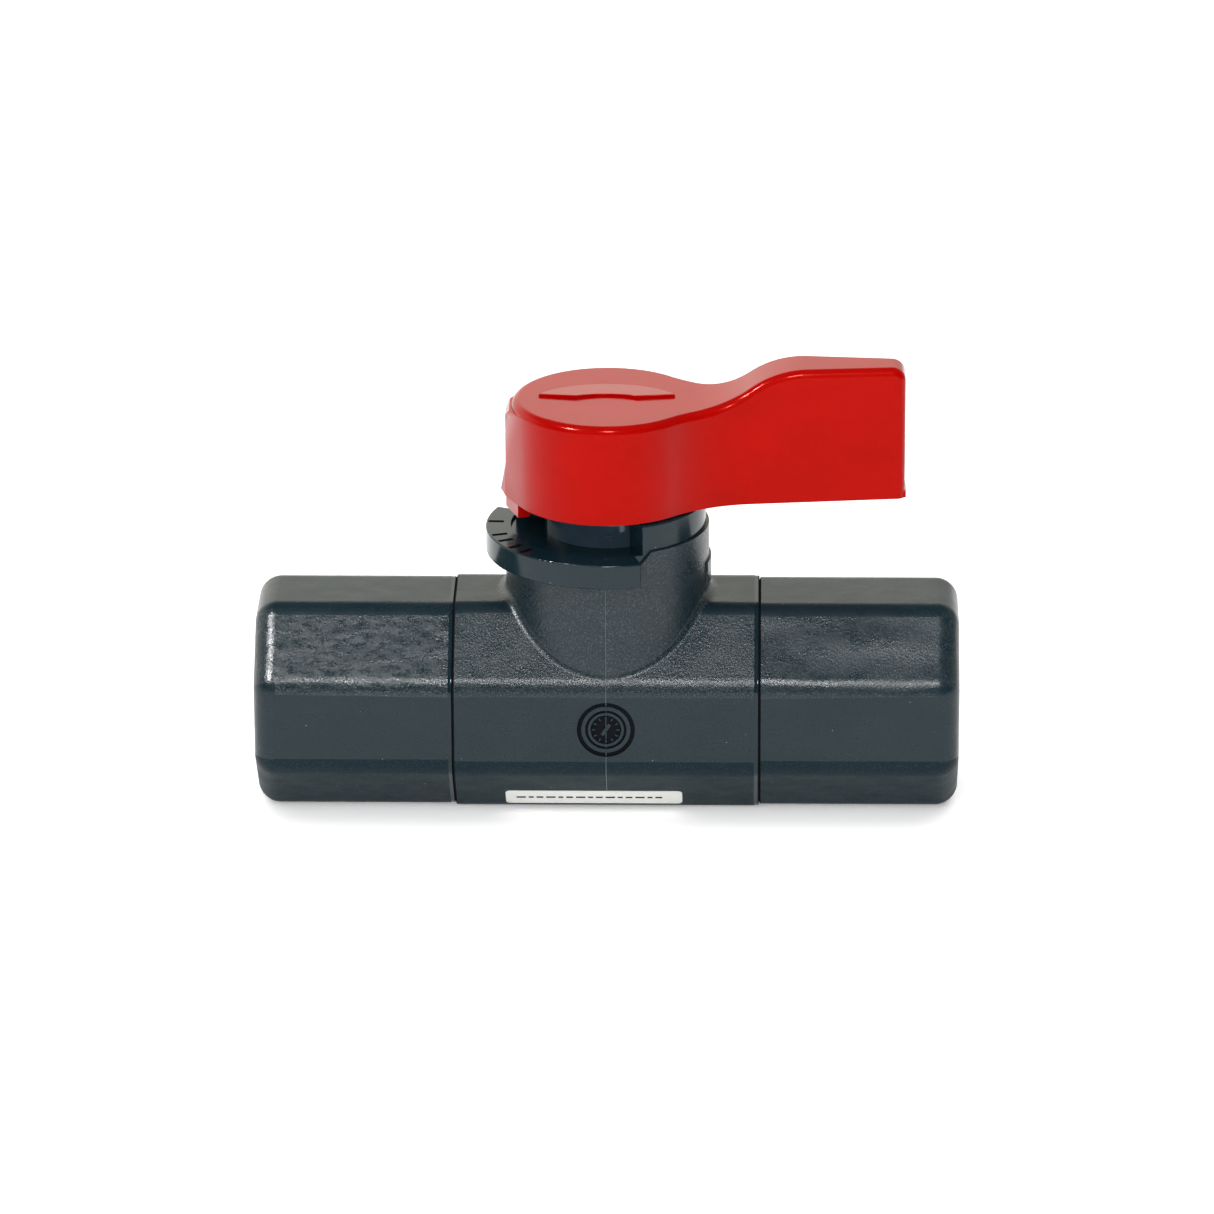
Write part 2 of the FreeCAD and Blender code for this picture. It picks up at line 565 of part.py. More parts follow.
def make_handle():
    """Hollow red lever: hub, tail, pointer, stop lug, inner boss with its square, and a raised mark."""
    body = new_body("handle")
    plan = outline(body, "plan", "XY_Plane", lever_plan("0"), height="rim")
    extrude(body, "Pad", "blank", plan, Length="tail_top - rim")
    half = "wave_length / 2"
    wave = "((wave_length / 2) ^ 2 + (tail_rise / 2) ^ 2) / tail_rise"
    cut_through(body, "top_line", [
        ("-clear", "hub_top"), ("wave_start", "hub_top", wave),
        (f"wave_start + {half}", "hub_top + tail_rise / 2", "-" + wave),
        ("wave_start + wave_length", "tail_top"), ("tail_reach - tail_corner", "tail_top", "-tail_corner"),
        ("tail_reach", "tail_top - tail_corner"), ("clear", "tail_top - tail_corner"),
        ("clear", "tail_top + clear"), ("-clear", "tail_top + clear")])
    trimmed = cut_through(body, "lower_line", [
        ("hub_radius", "rim - tail_lift"), ("tail_reach + tail_corner", "rim - tail_lift"),
        ("tail_reach + tail_corner", "rim + tail_lift"), ("hub_radius", "rim")])
    top = [name for name in edge_names(trimmed) if is_top_edge(trimmed.Shape.getElement(name))]
    round_edges(body, "Fillet", "top_edge", trimmed, top, Radius="hub_edge")
    tangent_x = "-(hub_radius ^ 2 / nose_reach)"
    tangent_y = "hub_radius * sqrt(1 - (hub_radius / nose_reach) ^ 2)"
    nose = outline(body, "nose_plan", "XY_Plane", [
        ("-nose_reach", "0"), (tangent_x, f"-({tangent_y})"), ("0", "0"), (tangent_x, tangent_y)],
        height="rim")
    extrude(body, "Pad", "nose", nose, Length="hub_height - hub_edge")
    doc.recompute()
    beyond = "-(nose_reach + lever_wall)"
    cut_through(body, "nose_front", [
        ("-nose_reach", "rim + nose_tip"), ("-nose_flat", "rim + nose_flare"),
        ("-nose_flat", "rim + nose_top"), ("-hub_radius", "hub_top - hub_edge / 2"),
        ("-hub_radius", "hub_top + tail_rise"), (beyond, "hub_top + tail_rise"),
        (beyond, "rim + nose_tip")])
    cut_through(body, "nose_under", [
        (beyond, "rim"), ("-nose_flat", "rim"), ("-nose_reach", "rim + nose_tip"),
        (beyond, "rim + nose_tip")])
    lug = outline(body, "lug_plan", "XY_Plane", [
        ("0", "0"), ("hub_radius * cos(lug_start)", "hub_radius * sin(lug_start)"), ("-nose_flat", "0"),
        ("hub_radius * cos(lug_end)", "hub_radius * sin(lug_end)")], height="lug_low")
    extrude(body, "Pad", "stop_lug", lug, Length="lug_drop + lever_wall")
    hollow = outline(body, "hollow_plan", "XY_Plane", lever_plan("lever_wall"), height="rim - lug_drop")
    cavity = extrude(body, "Pocket", "hollow", hollow, Length="hub_ceiling - lug_low")
    cavity.Reversed = True
    doc.recompute()
    disc(body, "Additive", "boss", "boss_radius", "boss_low", "hub_ceiling + lever_wall / 2")
    for count, direction in enumerate(RIB_DIRECTIONS):
        spoke(body, "Additive", f"rib_{count}", direction,
              ("hub_radius - lever_wall / 2 - rib_start", "lever_rib", "hub_ceiling - rim - lever_wall"),
              "rib_start", "rim + lever_wall")
    block(body, "Subtractive", "drive_socket",
          ("drive_side + 2 * drive_fit", "drive_side + 2 * drive_fit", "stem_top + boss_gap - boss_low"),
          ("0", "0"), "boss_low")
    bead = outline(body, "bead_profile", "XZ_Plane", box_corners(
        "notch_radius + drive_fit", "boss_radius - lever_rib / 2", "notch_top - notch_height + drive_fit",
        "notch_top - drive_fit"))
    sweep_round(body, "Revolution", "snap_bead", bead, "V_Axis")
    add_raised_mark(body)
    return body


def lever_plan(inset):
    """The lever's outline from above, drawn inwards by an inset.

    The hub's circle runs into the tail's straight sides through a hollow that is tangent to both.
    """
    hub = f"(hub_radius - {inset})"
    sweep = f"(sweep_radius + {inset})"
    slope = "((tail_root_half - tail_tip_half) / (tail_reach - tail_root))"
    lean = f"sqrt(1 + {slope} ^ 2)"
    # The side is y = side_at_axis - slope * x, and the hollow's centre is a sweep radius beyond it.
    side_at_axis = f"(tail_root_half + {slope} * tail_root - {inset} * {lean})"
    level = f"({side_at_axis} + {sweep} * {lean})"
    spread = "(hub_radius + sweep_radius)"
    centre_x = (f"(({slope} * {level} + sqrt({spread} ^ 2 * (1 + {slope} ^ 2) - {level} ^ 2))"
                f" / (1 + {slope} ^ 2))")
    centre_y = f"({level} - {slope} * {centre_x})"
    on_hub = (f"{centre_x} * {hub} / {spread}", f"{centre_y} * {hub} / {spread}")
    on_side = (f"{centre_x} - {sweep} * {slope} / {lean}", f"{centre_y} - {sweep} / {lean}")
    tip_x = f"tail_reach - {inset}"
    tip_y = f"({side_at_axis} - {slope} * ({tip_x}))"
    return [
        ("-" + hub, "0", hub), ("0", "-" + hub, hub), (on_hub[0], "-" + on_hub[1], "-" + sweep),
        (on_side[0], f"-({on_side[1]})"), (tip_x, "-" + tip_y), (tip_x, tip_y),
        (on_side[0], on_side[1], "-" + sweep), (on_hub[0], on_hub[1], hub), ("0", hub, hub)]


def cut_through(body, name, corners):
    """Cut a side outline right across a body, from both sides of the XZ plane."""
    sketch = outline(body, name + "_line", "XZ_Plane", corners)
    feature = extrude(body, "Pocket", name, sketch)
    feature.Type = "ThroughAll"
    feature.Midplane = True
    doc.recompute()
    return feature


def is_top_edge(edge):
    """Whether an edge runs along the lever's top or down the tail's end."""
    box = edge.BoundBox
    along_top = box.ZMin > number("hub_top") - TOUCH and box.XLength > TOUCH
    return along_top or (box.XMin > number("tail_reach") - TOUCH and box.ZLength > number("tail_rise"))


def add_raised_mark(body):
    """A blank raised wedge on the hub's top, upright in front and flush at its rear edge."""
    back = "(mark_half ^ 2 + mark_back ^ 2) / (2 * mark_back)"
    rise = "(mark_dip + mark_crown)"
    crown = f"(mark_bump ^ 2 + {rise} ^ 2) / (2 * {rise})"
    plan = outline(body, "mark_plan", "XY_Plane", [
        ("-mark_half", "0"), ("-mark_bump", "-mark_dip", f"-({crown})"),
        ("0", "mark_crown", f"-({crown})"), ("mark_bump", "-mark_dip"), ("mark_half", "0", back),
        ("0", "mark_back", back)], height="hub_top - lever_wall / 2")
    extrude(body, "Pad", "mark", plan, Length="mark_proud + lever_wall / 2")
    doc.recompute()
    slope = outline(body, "mark_slope", "YZ_Plane", [
        ("-mark_dip", "hub_top + mark_proud"), ("mark_back", "hub_top"),
        ("mark_back", "hub_top + 2 * mark_proud"), ("-mark_dip", "hub_top + 2 * mark_proud")])
    cut = extrude(body, "Pocket", "mark_top", slope, Length="2 * mark_half")
    cut.Midplane = True
    doc.recompute()


def solid(kind, name, turn=Rotation(), **formulas):
    """A Part primitive with its sizes and place bound."""
    made = doc.addObject("Part::" + kind, name)
    made.Placement = Placement(Vector(), turn)
    bind(made, **formulas)
    return made


def lifted(result):
    """Lift a boolean's result, drawn about the ball's centre, to the pipe's height."""
    bind(result, Placement__Base__z="axis_height")
    return result


def make_ball():
    """Ball with a full-bore waterway along the pipe and a slot for the tang across it."""
    sphere = solid("Sphere", "ball_blank", Radius="ball_radius")
    bore = solid("Cylinder", "ball_waterway", ALONG_PIPE, Radius="waterway", Height="4 * ball_radius",
                 Placement__Base__x="-2 * ball_radius")
    slot = solid("Box", "ball_slot", Length="slot_width", Width="2 * ball_radius", Height="ball_radius",
                 Placement__Base__x="-slot_width / 2", Placement__Base__y="-ball_radius",
                 Placement__Base__z="slot_floor")
    return lifted(boolean("Cut", "ball", boolean("Cut", "bored_ball", sphere, bore), slot))


def make_seat(side, sign):
    """Seat ring, hollowed to the ball with a running gap."""
    turn = ALONG_PIPE if sign > 0 else Rotation(Vector(0, 1, 0), -90)
    ring = solid("Cylinder", f"seat_blank_{side}", turn, Radius="body_bore - seat_room",
                 Height="seat_back - seat_front", Placement__Base__x=f"{sign} * seat_front")
    hole = solid("Cylinder", f"seat_hole_{side}", turn, Radius="seat_hole", Height="seat_back",
                 Placement__Base__x=f"{sign} * seat_front / 2")
    ball = solid("Sphere", f"seat_ball_{side}", Radius="ball_radius + seat_gap")
    bored = boolean("Cut", f"bored_seat_{side}", ring, hole)
    return lifted(boolean("Cut", f"ball_seat_{side}", bored, ball))


def make_ring(label, ring_radius, section, turn=ALONG_PIPE, **place):
    """O-ring, about the pipe or about the stem."""
    ring = solid("Torus", label, turn, Radius1=ring_radius, Radius2=section, **place)
    ring.Label = label
    return ring


def make_thrust_ring():
    """Low-friction ring between the stem's flange and the neck's shoulder."""
    body = new_body("stem_thrust_ring")
    profile = outline(body, "ring_profile", "XZ_Plane", box_corners(
        "stem_bore", "flange_radius", "flange_high + face_gap", "shoulder - face_gap"))
    sweep_round(body, "Revolution", "ring", profile, "V_Axis")
    return body


def make_label():
    """Blank adhesive label with rounded corners on the lower front slope."""
    film = solid("Box", "label_film_sheet", SLOPE_TURN, Length="label_length", Width="label_width",
                 Height="label_film", Placement__Base__x="-label_left",
                 Placement__Base__y="-(axis_height - label_low) * cos(45)",
                 Placement__Base__z="axis_height - (axis_height + label_low) * cos(45)")
    doc.recompute()
    made = doc.addObject("Part::Fillet", "origin_label")
    made.Label = "origin_label"
    made.Base = film
    corner = number("label_corner")
    short = [count for count, edge in enumerate(film.Shape.Edges, start=1)
             if edge.Length < number("label_film") + TOUCH]
    made.Edges = [(count, corner, corner) for count in short]
    return made


def write_parts(pieces):
    """Check every object and each piece's shape, then write one STEP file a piece."""
    doc.recompute()
    failed = [item.Name for item in doc.Objects if {"Invalid", "Error"} & set(item.State)]
    if failed:
        raise RuntimeError(f"objects that did not compute: {failed}")
    for piece in pieces:
        if piece.Shape.isNull() or not piece.Shape.isValid() or len(piece.Shape.Solids) != 1:
            raise RuntimeError(f"{piece.Label} is not one valid solid")
    os.makedirs("parts", exist_ok=True)
    for piece in pieces:
        piece.Shape.exportStep(f"parts/{piece.Label}.step")
        print(f"{piece.Label}: {piece.Shape.Volume:.1f} mm3")


valve_body = make_valve_body()
pieces = [
    valve_body,
    make_end_socket("end_socket_left", 180),
    make_end_socket("end_socket_right", 0),
    make_dial_ring(valve_body),
    make_gland_bush(),
    make_stem(),
    make_thrust_ring(),
    make_handle(),
    make_ball(),
    make_label(),
]
for side, sign in (("left", -1), ("right", 1)):
    pieces += [
        make_seat(side, sign),
        make_ring(f"seat_cushion_{side}", "cushion_radius", "cushion_section",
                  Placement__Base__x=f"{sign} * cushion_middle", Placement__Base__z="axis_height"),
        make_ring(f"end_seal_{side}", "spigot_radius - seal_section", "seal_section",
                  Placement__Base__x=f"{sign} * seal_middle", Placement__Base__z="axis_height"),
    ]
for level in ("lower", "upper"):
    pieces.append(make_ring(f"stem_seal_{level}", "ring_middle", "ring_section", Rotation(),
                            Placement__Base__z=f"axis_height + {level}_ring_height"))
write_parts(pieces)
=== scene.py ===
import logging
import math
from collections.abc import Callable, Sequence
from dataclasses import dataclass
from enum import Enum, IntEnum
from typing import Protocol

import bmesh
import bpy
from mathutils import Matrix, Vector


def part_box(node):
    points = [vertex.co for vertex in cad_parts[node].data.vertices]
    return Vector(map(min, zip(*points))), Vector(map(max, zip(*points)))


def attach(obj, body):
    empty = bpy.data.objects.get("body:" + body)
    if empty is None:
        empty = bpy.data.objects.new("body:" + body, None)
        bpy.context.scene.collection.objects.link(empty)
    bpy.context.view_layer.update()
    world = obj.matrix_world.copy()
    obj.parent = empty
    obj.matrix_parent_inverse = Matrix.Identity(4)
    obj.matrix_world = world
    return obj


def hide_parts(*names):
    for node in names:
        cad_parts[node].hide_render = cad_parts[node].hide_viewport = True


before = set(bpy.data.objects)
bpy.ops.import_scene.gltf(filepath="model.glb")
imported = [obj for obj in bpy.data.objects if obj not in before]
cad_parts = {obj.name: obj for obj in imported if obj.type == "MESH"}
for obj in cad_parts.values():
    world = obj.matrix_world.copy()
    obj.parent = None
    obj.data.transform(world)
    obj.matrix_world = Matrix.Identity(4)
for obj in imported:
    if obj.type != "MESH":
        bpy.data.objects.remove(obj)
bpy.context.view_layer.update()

# every length is in metres unless its note says otherwise
MM = 0.001
X_AXIS = Vector((1, 0, 0))
Y_AXIS = Vector((0, 1, 0))
Z_AXIS = Vector((0, 0, 1))
log = logging.getLogger("ball_valve")

Colour = tuple[float, float, float]
Span = tuple[float, float]
Socket = bpy.types.NodeSocket
Mesh = bmesh.types.BMesh


class Body(Enum):
    """The rigid bodies that the pieces ride on."""

    HOUSING = "housing"
    LEVER = "lever"


class End(Enum):
    """The two ends of the valve, each with its direction along the pipe."""

    LEFT = -1
    RIGHT = 1

    @property
    def word(self) -> str:
        """The end's name as the frame's nodes spell it."""
        return self.name.lower()


class Zone(IntEnum):
    """The zones of an octagonal moulding, in the order of its finish slots."""

    SLOPE = 0
    FLAT = 1
    LIP = 2
    # faces painted dark as shade, in the seams and the round recess
    SEAM = 3
    UNDER = 4


def linked(name: str, data: bpy.types.ID) -> bpy.types.Object:
    """Put data in the scene as an object of a given name."""
    made = bpy.data.objects.new(name, data)
    bpy.context.scene.collection.objects.link(made)
    return made


class Finish(Protocol):
    """Anything that makes one named material."""

    name: str

    def material(self) -> bpy.types.Material:
        """Make the material, or return the one made before."""


# ------------------------ finishes


class Wiring:
    """The node tree of a material or a world, with short calls to add and join nodes."""

    def __init__(self, owner: bpy.types.ID, coordinates: str) -> None:
        """Turn the owner's nodes on and add its coordinates.

        Args:
            owner: The material or the world.
            coordinates: Name of the coordinates that the nodes read.
        """
        owner.use_nodes = True
        self.tree = owner.node_tree
        self.place = self.tree.nodes.new("ShaderNodeTexCoord").outputs[coordinates]

    def join(self, source: Socket, target: Socket) -> None:
        """Link one socket to another."""
        self.tree.links.new(source, target)

    def span(self, value: Socket, start: Span, result: Span, curve: str = "LINEAR") -> Socket:
        """Map a value's range onto another, clamped at both ends.

        Args:
            value: The value.
            start: Its range.
            result: The range that it's mapped onto.
            curve: The node's name for the way from one end to the other.

        Returns:
            The mapped value.
        """
        node = self.tree.nodes.new("ShaderNodeMapRange")
        node.interpolation_type = curve
        for name, number in zip(("From Min", "From Max", "To Min", "To Max"), (*start, *result)):
            node.inputs[name].default_value = number
        self.join(value, node.inputs["Value"])
        return node.outputs["Result"]

    def combine(self, operation: str, first: Socket, second: Socket | float) -> Socket:
        """Join two values.

        Args:
            operation: The node's name for the sum, product or so.
            first: The first value.
            second: The second value.

        Returns:
            The joined value.
        """
        node = self.tree.nodes.new("ShaderNodeMath")
        node.operation = operation
        self.join(first, node.inputs[0])
        if isinstance(second, float):
            node.inputs[1].default_value = second
        else:
            self.join(second, node.inputs[1])
        return node.outputs["Value"]


class Graph(Wiring):
    """The wiring of one material round its Principled shader, on Object coordinates."""

    def __init__(self, name: str) -> None:
        """Start a material of a given name."""
        self.material = bpy.data.materials.new(name)
        super().__init__(self.material, "Object")
        self.shader = self.tree.nodes["Principled BSDF"]

    def stretched(self, stretch: Colour) -> Socket:
        """Scale the coordinates.

        Args:
            stretch: The factor of each axis.

        Returns:
            The scaled coordinates.
        """
        mapping = self.tree.nodes.new("ShaderNodeMapping")
        mapping.inputs["Scale"].default_value = stretch
        self.join(self.place, mapping.inputs["Vector"])
        return mapping.outputs["Vector"]

    def noise(self, size: float, detail: float = 2.0, roughness: float = 0.5,
              stretch: Colour = (1.0, 1.0, 1.0), bend: float = 0.0) -> Socket:
        """Add a noise whose features have a given size.

        Args:
            size: Size of a feature.
            detail: Number of finer octaves.
            roughness: Strength of the finer octaves.
            stretch: Scale of the coordinates along each axis.
            bend: How far the noise bends its own pattern.

        Returns:
            The noise's factor, from 0 to 1 with a mean of 0.5.
        """
        node = self.tree.nodes.new("ShaderNodeTexNoise")
        node.inputs["Scale"].default_value = 1 / size
        node.inputs["Detail"].default_value = detail
        node.inputs["Roughness"].default_value = roughness
        node.inputs["Distortion"].default_value = bend
        self.join(self.stretched(stretch), node.inputs["Vector"])
        return node.outputs["Fac"]

    def cells(self, size: float) -> Socket:
        """Add a pattern of scattered points.

        Args:
            size: Size of the cell that holds one point.

        Returns:
            The distance to the nearest point, in cells.
        """
        node = self.tree.nodes.new("ShaderNodeTexVoronoi")
        node.inputs["Scale"].default_value = 1 / size
        self.join(self.place, node.inputs["Vector"])
        return node.outputs["Distance"]

    def blend(self, factor: Socket, first: Colour | Socket, second: Colour | Socket) -> Socket:
        """Mix two colours.

        Args:
            factor: The share of the second colour, from 0 to 1.
            first: The first colour.
            second: The second colour.

        Returns:
            The mixed colour.
        """
        node = self.tree.nodes.new("ShaderNodeMix")
        node.data_type = "RGBA"
        self.join(factor, node.inputs["Factor"])
        for name, colour in (("A", first), ("B", second)):
            socket = next(item for item in node.inputs if item.name == name and item.type == "RGBA")
            if isinstance(colour, tuple):
                socket.default_value = (*colour, 1.0)
            else:
                self.join(colour, socket)
        return next(item for item in node.outputs if item.type == "RGBA")

    def bump(self, height: Socket, depth: float, under: Socket | None = None) -> Socket:
        """Add a bump.

        Args:
            height: The bump's pattern.
            depth: Its depth.
            under: Another bump that it lies over.

        Returns:
            The bumped normal.
        """
        node = self.tree.nodes.new("ShaderNodeBump")
        node.inputs["Distance"].default_value = depth
        self.join(height, node.inputs["Height"])
        if under is not None:
            self.join(under, node.inputs["Normal"])
        return node.outputs["Normal"]

    def set(self, **values: float) -> None:
        """Set uniform values on the shader's own sockets, with underscores for spaces."""
        for name, value in values.items():
            self.shader.inputs[name.replace("_", " ")].default_value = value

    def drive(self, **sources: Socket) -> None:
        """Link sources to the shader's sockets, with underscores for spaces."""
        for name, source in sources.items():
            self.join(source, self.shader.inputs[name.replace("_", " ")])


def made_once(make: Callable[[Finish], bpy.types.Material]) -> Callable[[Finish], bpy.types.Material]:
    """Let a finish's method make its material only the first time it is asked.

    Args:
        make: The method.

    Returns:
        The method with a look for an earlier material before it.
    """
    def once(finish: Finish) -> bpy.types.Material:
        """Return the finish's material, made now if there is none."""
        made = bpy.data.materials.get(finish.name)
        return made if made is not None else make(finish)
    return once


def shaded(colour: Colour, factor: float) -> Colour:
    """Scale a colour's brightness."""
    red, green, blue = colour
    return red * factor, green * factor, blue * factor


@dataclass(frozen=True)
class MouldedPlastic:
    """Injection-moulded plastic, from polished to spark-eroded.

    Attributes:
        name: The finish's name.
        colour: The plastic's colour.
        tint: The colour that it drifts towards in faint clouds.
        roughness: Lowest and highest roughness over the surface.
        cloud: Size of the clouds of colour and sheen.
        flow: Stretch of the clouds along each axis, from the plastic's flow.
        grain: Size of a grain of the mould's texture.
        grain_depth: Depth of that texture.
        glint: How far lighter spots, painted glints of the grain, cover the surface, from 0 to 1.
        crest: The colour of the painted glints of the grain.
        ripple: Size of the slow sink marks.
        ripple_depth: Depth of the sink marks.
        dust: Size of the cells that each hold one speck of dust.
        speck: The specks' colour.
        reflection: Strength of the surface reflection.
        mirror_tint: Colour of the reflection where it is seen face on.
    """

    name: str
    colour: Colour
    tint: Colour
    roughness: Span = (0.3, 0.4)
    cloud: float = 6 * MM
    flow: Colour = (0.5, 1.0, 1.0)
    grain: float = 0.36 * MM
    grain_depth: float = 0.02 * MM
    glint: float = 0.1
    crest: Colour = (0.070, 0.076, 0.078)
    ripple: float = 8 * MM
    ripple_depth: float = 0.02 * MM
    dust: float = 2.6 * MM
    speck: Colour = (0.45, 0.45, 0.42)
    reflection: float = 0.4
    mirror_tint: Colour = (1.0, 1.0, 1.0)

    @made_once
    def material(self) -> bpy.types.Material:
        """Make the finish's material, or return the one made before."""
        graph = Graph(self.name)
        cloud = graph.noise(self.cloud, detail=5.0, roughness=0.6, stretch=self.flow, bend=0.3)
        grain = graph.noise(self.grain, detail=2.5, roughness=0.6)
        shade = graph.blend(graph.span(cloud, (0.3, 0.7), (0.0, 1.0)), self.colour, self.tint)
        fine = graph.noise(self.grain / 1.7, detail=1.0)
        # painted glints: lighter spots on the grain stand in for its sparkle under the lamps
        glinted = graph.blend(graph.span(fine, (0.52, 0.7), (0.0, self.glint)), shade, self.crest)
        speck = graph.span(graph.cells(self.dust), (0.02, 0.035), (0.55, 0.0))
        graph.drive(Base_Color=graph.blend(speck, glinted, self.speck))
        sheen = graph.noise(self.cloud / 2.5, detail=4.0, roughness=0.65, stretch=self.flow)
        graph.drive(Roughness=graph.span(sheen, (0.32, 0.68), self.roughness))
        slow = graph.noise(self.ripple, detail=1.0, stretch=self.flow)
        sunk = graph.bump(slow, self.ripple_depth)
        graph.drive(Normal=graph.bump(grain, self.grain_depth, under=sunk))
        graph.set(Specular_IOR_Level=self.reflection)
        graph.shader.inputs["Specular Tint"].default_value = (*self.mirror_tint, 1.0)
        return graph.material


@dataclass(frozen=True)
class Rubber:
    """Moulded black rubber with a faint bloom.

    Attributes:
        name: The finish's name.
        colour: The rubber's colour.
        bloom: The colour of the dusty bloom on it.
    """

    name: str = "seal rubber"
    colour: Colour = (0.012, 0.012, 0.013)
    bloom: Colour = (0.035, 0.035, 0.036)

    @made_once
    def material(self) -> bpy.types.Material:
        """Make the finish's material, or return the one made before."""
        graph = Graph(self.name)
        dust = graph.noise(1.5 * MM, detail=5.0, roughness=0.65)
        graph.drive(Base_Color=graph.blend(graph.span(dust, (0.5, 0.8), (0.0, 0.6)), self.colour, self.bloom))
        graph.drive(Roughness=graph.span(dust, (0.3, 0.7), (0.5, 0.7)))
        graph.drive(Normal=graph.bump(graph.noise(0.1 * MM, detail=3.0), 0.004 * MM))
        graph.set(Specular_IOR_Level=0.4)
        return graph.material


@dataclass(frozen=True)
class WaxySeat:
    """Waxy white seat plastic with faint turning marks.

    Attributes:
        name: The finish's name.
        colour: The plastic's colour.
        shadow: The greyer colour in its clouds.
    """

    name: str = "seat plastic"
    colour: Colour = (0.78, 0.78, 0.74)
    shadow: Colour = (0.62, 0.62, 0.58)

    @made_once
    def material(self) -> bpy.types.Material:
        """Make the finish's material, or return the one made before."""
        graph = Graph(self.name)
        cloud = graph.noise(3 * MM, detail=3.0)
        graph.drive(Base_Color=graph.blend(graph.span(cloud, (0.35, 0.75), (0.0, 1.0)), self.colour,
                                           self.shadow))
        graph.drive(Roughness=graph.span(cloud, (0.3, 0.7), (0.38, 0.5)))
        turning = graph.noise(0.15 * MM, detail=1.0, stretch=(1.0, 0.05, 0.05))
        graph.drive(Normal=graph.bump(turning, 0.004 * MM))
        graph.set(Subsurface_Weight=0.1, Subsurface_Scale=0.5 * MM)
        return graph.material


@dataclass(frozen=True)
class LabelFilm:
    """Silvery adhesive film with a brushed sheen and small scuffs.

    Attributes:
        name: The finish's name.
        colour: The film's colour.
        scuff: The colour where it is rubbed.
    """

    name: str = "label film"
    colour: Colour = (0.60, 0.61, 0.58)
    scuff: Colour = (0.48, 0.49, 0.47)

    @made_once
    def material(self) -> bpy.types.Material:
        """Make the finish's material, or return the one made before."""
        graph = Graph(self.name)
        brushed = graph.noise(0.12 * MM, detail=2.0, stretch=(0.03, 1.0, 1.0))
        scuffs = graph.noise(1.6 * MM, detail=6.0, roughness=0.7)
        graph.drive(Base_Color=graph.blend(graph.span(scuffs, (0.52, 0.72), (0.0, 0.7)), self.colour,
                                           self.scuff))
        graph.drive(Roughness=graph.span(brushed, (0.3, 0.7), (0.28, 0.45)))
        graph.drive(Normal=graph.bump(brushed, 0.003 * MM))
        graph.set(Metallic=0.1)
        return graph.material


@dataclass(frozen=True)
class StudioPaper:
    """Pale matte paper over a faintly lit table.

    Attributes:
        name: The finish's name.
        colour: The paper's colour.
        glow: Strength of the table's light through the paper.
    """

    name: str = "studio paper"
    colour: Colour = (0.94, 0.94, 0.94)
    glow: float = 0.25

    @made_once
    def material(self) -> bpy.types.Material:
        """Make the finish's material, or return the one made before."""
        graph = Graph(self.name)
        fibre = graph.noise(0.8 * MM, detail=3.0)
        graph.drive(Base_Color=graph.blend(fibre, self.colour, shaded(self.colour, 0.985)))
        graph.set(Roughness=0.95, Specular_IOR_Level=0.0, Emission_Strength=self.glow)
        graph.shader.inputs["Emission Color"].default_value = (*self.colour, 1.0)
        return graph.material


SLATE: Colour = (0.002, 0.0105, 0.0155)
SLATE_TINT: Colour = (0.004, 0.013, 0.018)
GRAINED = MouldedPlastic("grained slate plastic", SLATE, SLATE_TINT, roughness=(0.24, 0.36),
                         grain_depth=0.06 * MM, glint=0.5, reflection=0.36)
MOTTLED = MouldedPlastic("mottled slate plastic", SLATE, SLATE_TINT, roughness=(0.18, 0.36), cloud=2.2 * MM,
                         grain_depth=0.06 * MM, glint=0.6, ripple=2.2 * MM, ripple_depth=0.16 * MM,
                         reflection=0.42)
WAVY = MouldedPlastic("wavy slate plastic", SLATE, SLATE_TINT, roughness=(0.22, 0.42), cloud=9 * MM,
                      grain_depth=0.05 * MM, glint=0.4, ripple=11 * MM, ripple_depth=0.8 * MM,
                      reflection=0.38)
SMOOTH = MouldedPlastic("smooth slate plastic", SLATE, SLATE_TINT, roughness=(0.26, 0.34),
                        grain_depth=0.012 * MM, glint=0.12, reflection=0.28)
SHADED = MouldedPlastic("shaded slate plastic", SLATE, SLATE_TINT, roughness=(0.38, 0.5),
                        grain_depth=0.03 * MM, glint=0.2, reflection=0.09)
POLISHED = MouldedPlastic("polished slate plastic", SLATE, SLATE_TINT, roughness=(0.12, 0.2),
                          grain_depth=0.002 * MM, glint=0.03, dust=2.2 * MM, reflection=0.3)
GLOSSY = MouldedPlastic("glossy slate plastic", (0.014, 0.025, 0.037), (0.018, 0.031, 0.044),
                        roughness=(0.06, 0.12), cloud=3 * MM, grain_depth=0.001 * MM, glint=0.02, dust=4 * MM,
                        reflection=0.6)
# painted highlight: the raised parting line is coloured lighter than the slate, as if it caught the light
PARTING_HIGHLIGHT = MouldedPlastic("parting line highlight plastic", (0.045, 0.065, 0.075), (0.06, 0.08, 0.09),
                               grain_depth=0.002 * MM)
# painted shade: a dark matte finish for seams, grooves and recesses where shade falls; also the ink of the
# label's printed dashes
DARK_SHADE_AND_PRINT = MouldedPlastic("painted shade and print plastic", (0.003, 0.004, 0.005), (0.005, 0.006, 0.007),
                           roughness=(0.7, 0.9), grain_depth=0.01 * MM, glint=0.0, dust=20 * MM,
                           reflection=0.05)
LEVER_RED = MouldedPlastic("red lever plastic", (0.29, 0.0008, 0.0004), (0.25, 0.0008, 0.0004),
                           roughness=(0.12, 0.18), cloud=9 * MM, grain=0.3 * MM, grain_depth=0.005 * MM,
                           glint=0.25, crest=(0.36, 0.004, 0.002), dust=24 * MM, reflection=0.4,
                           mirror_tint=(1.0, 0.16, 0.12))
BALL_GREY = MouldedPlastic("ball plastic", (0.09, 0.105, 0.115), (0.075, 0.09, 0.10), roughness=(0.10, 0.16),
                           grain_depth=0.001 * MM, glint=0.05)
STEM_SLATE = MouldedPlastic("stem plastic", (0.045, 0.060, 0.068), (0.038, 0.052, 0.060),
                            roughness=(0.25, 0.35), grain_depth=0.004 * MM)


# ------------------------ mesh work

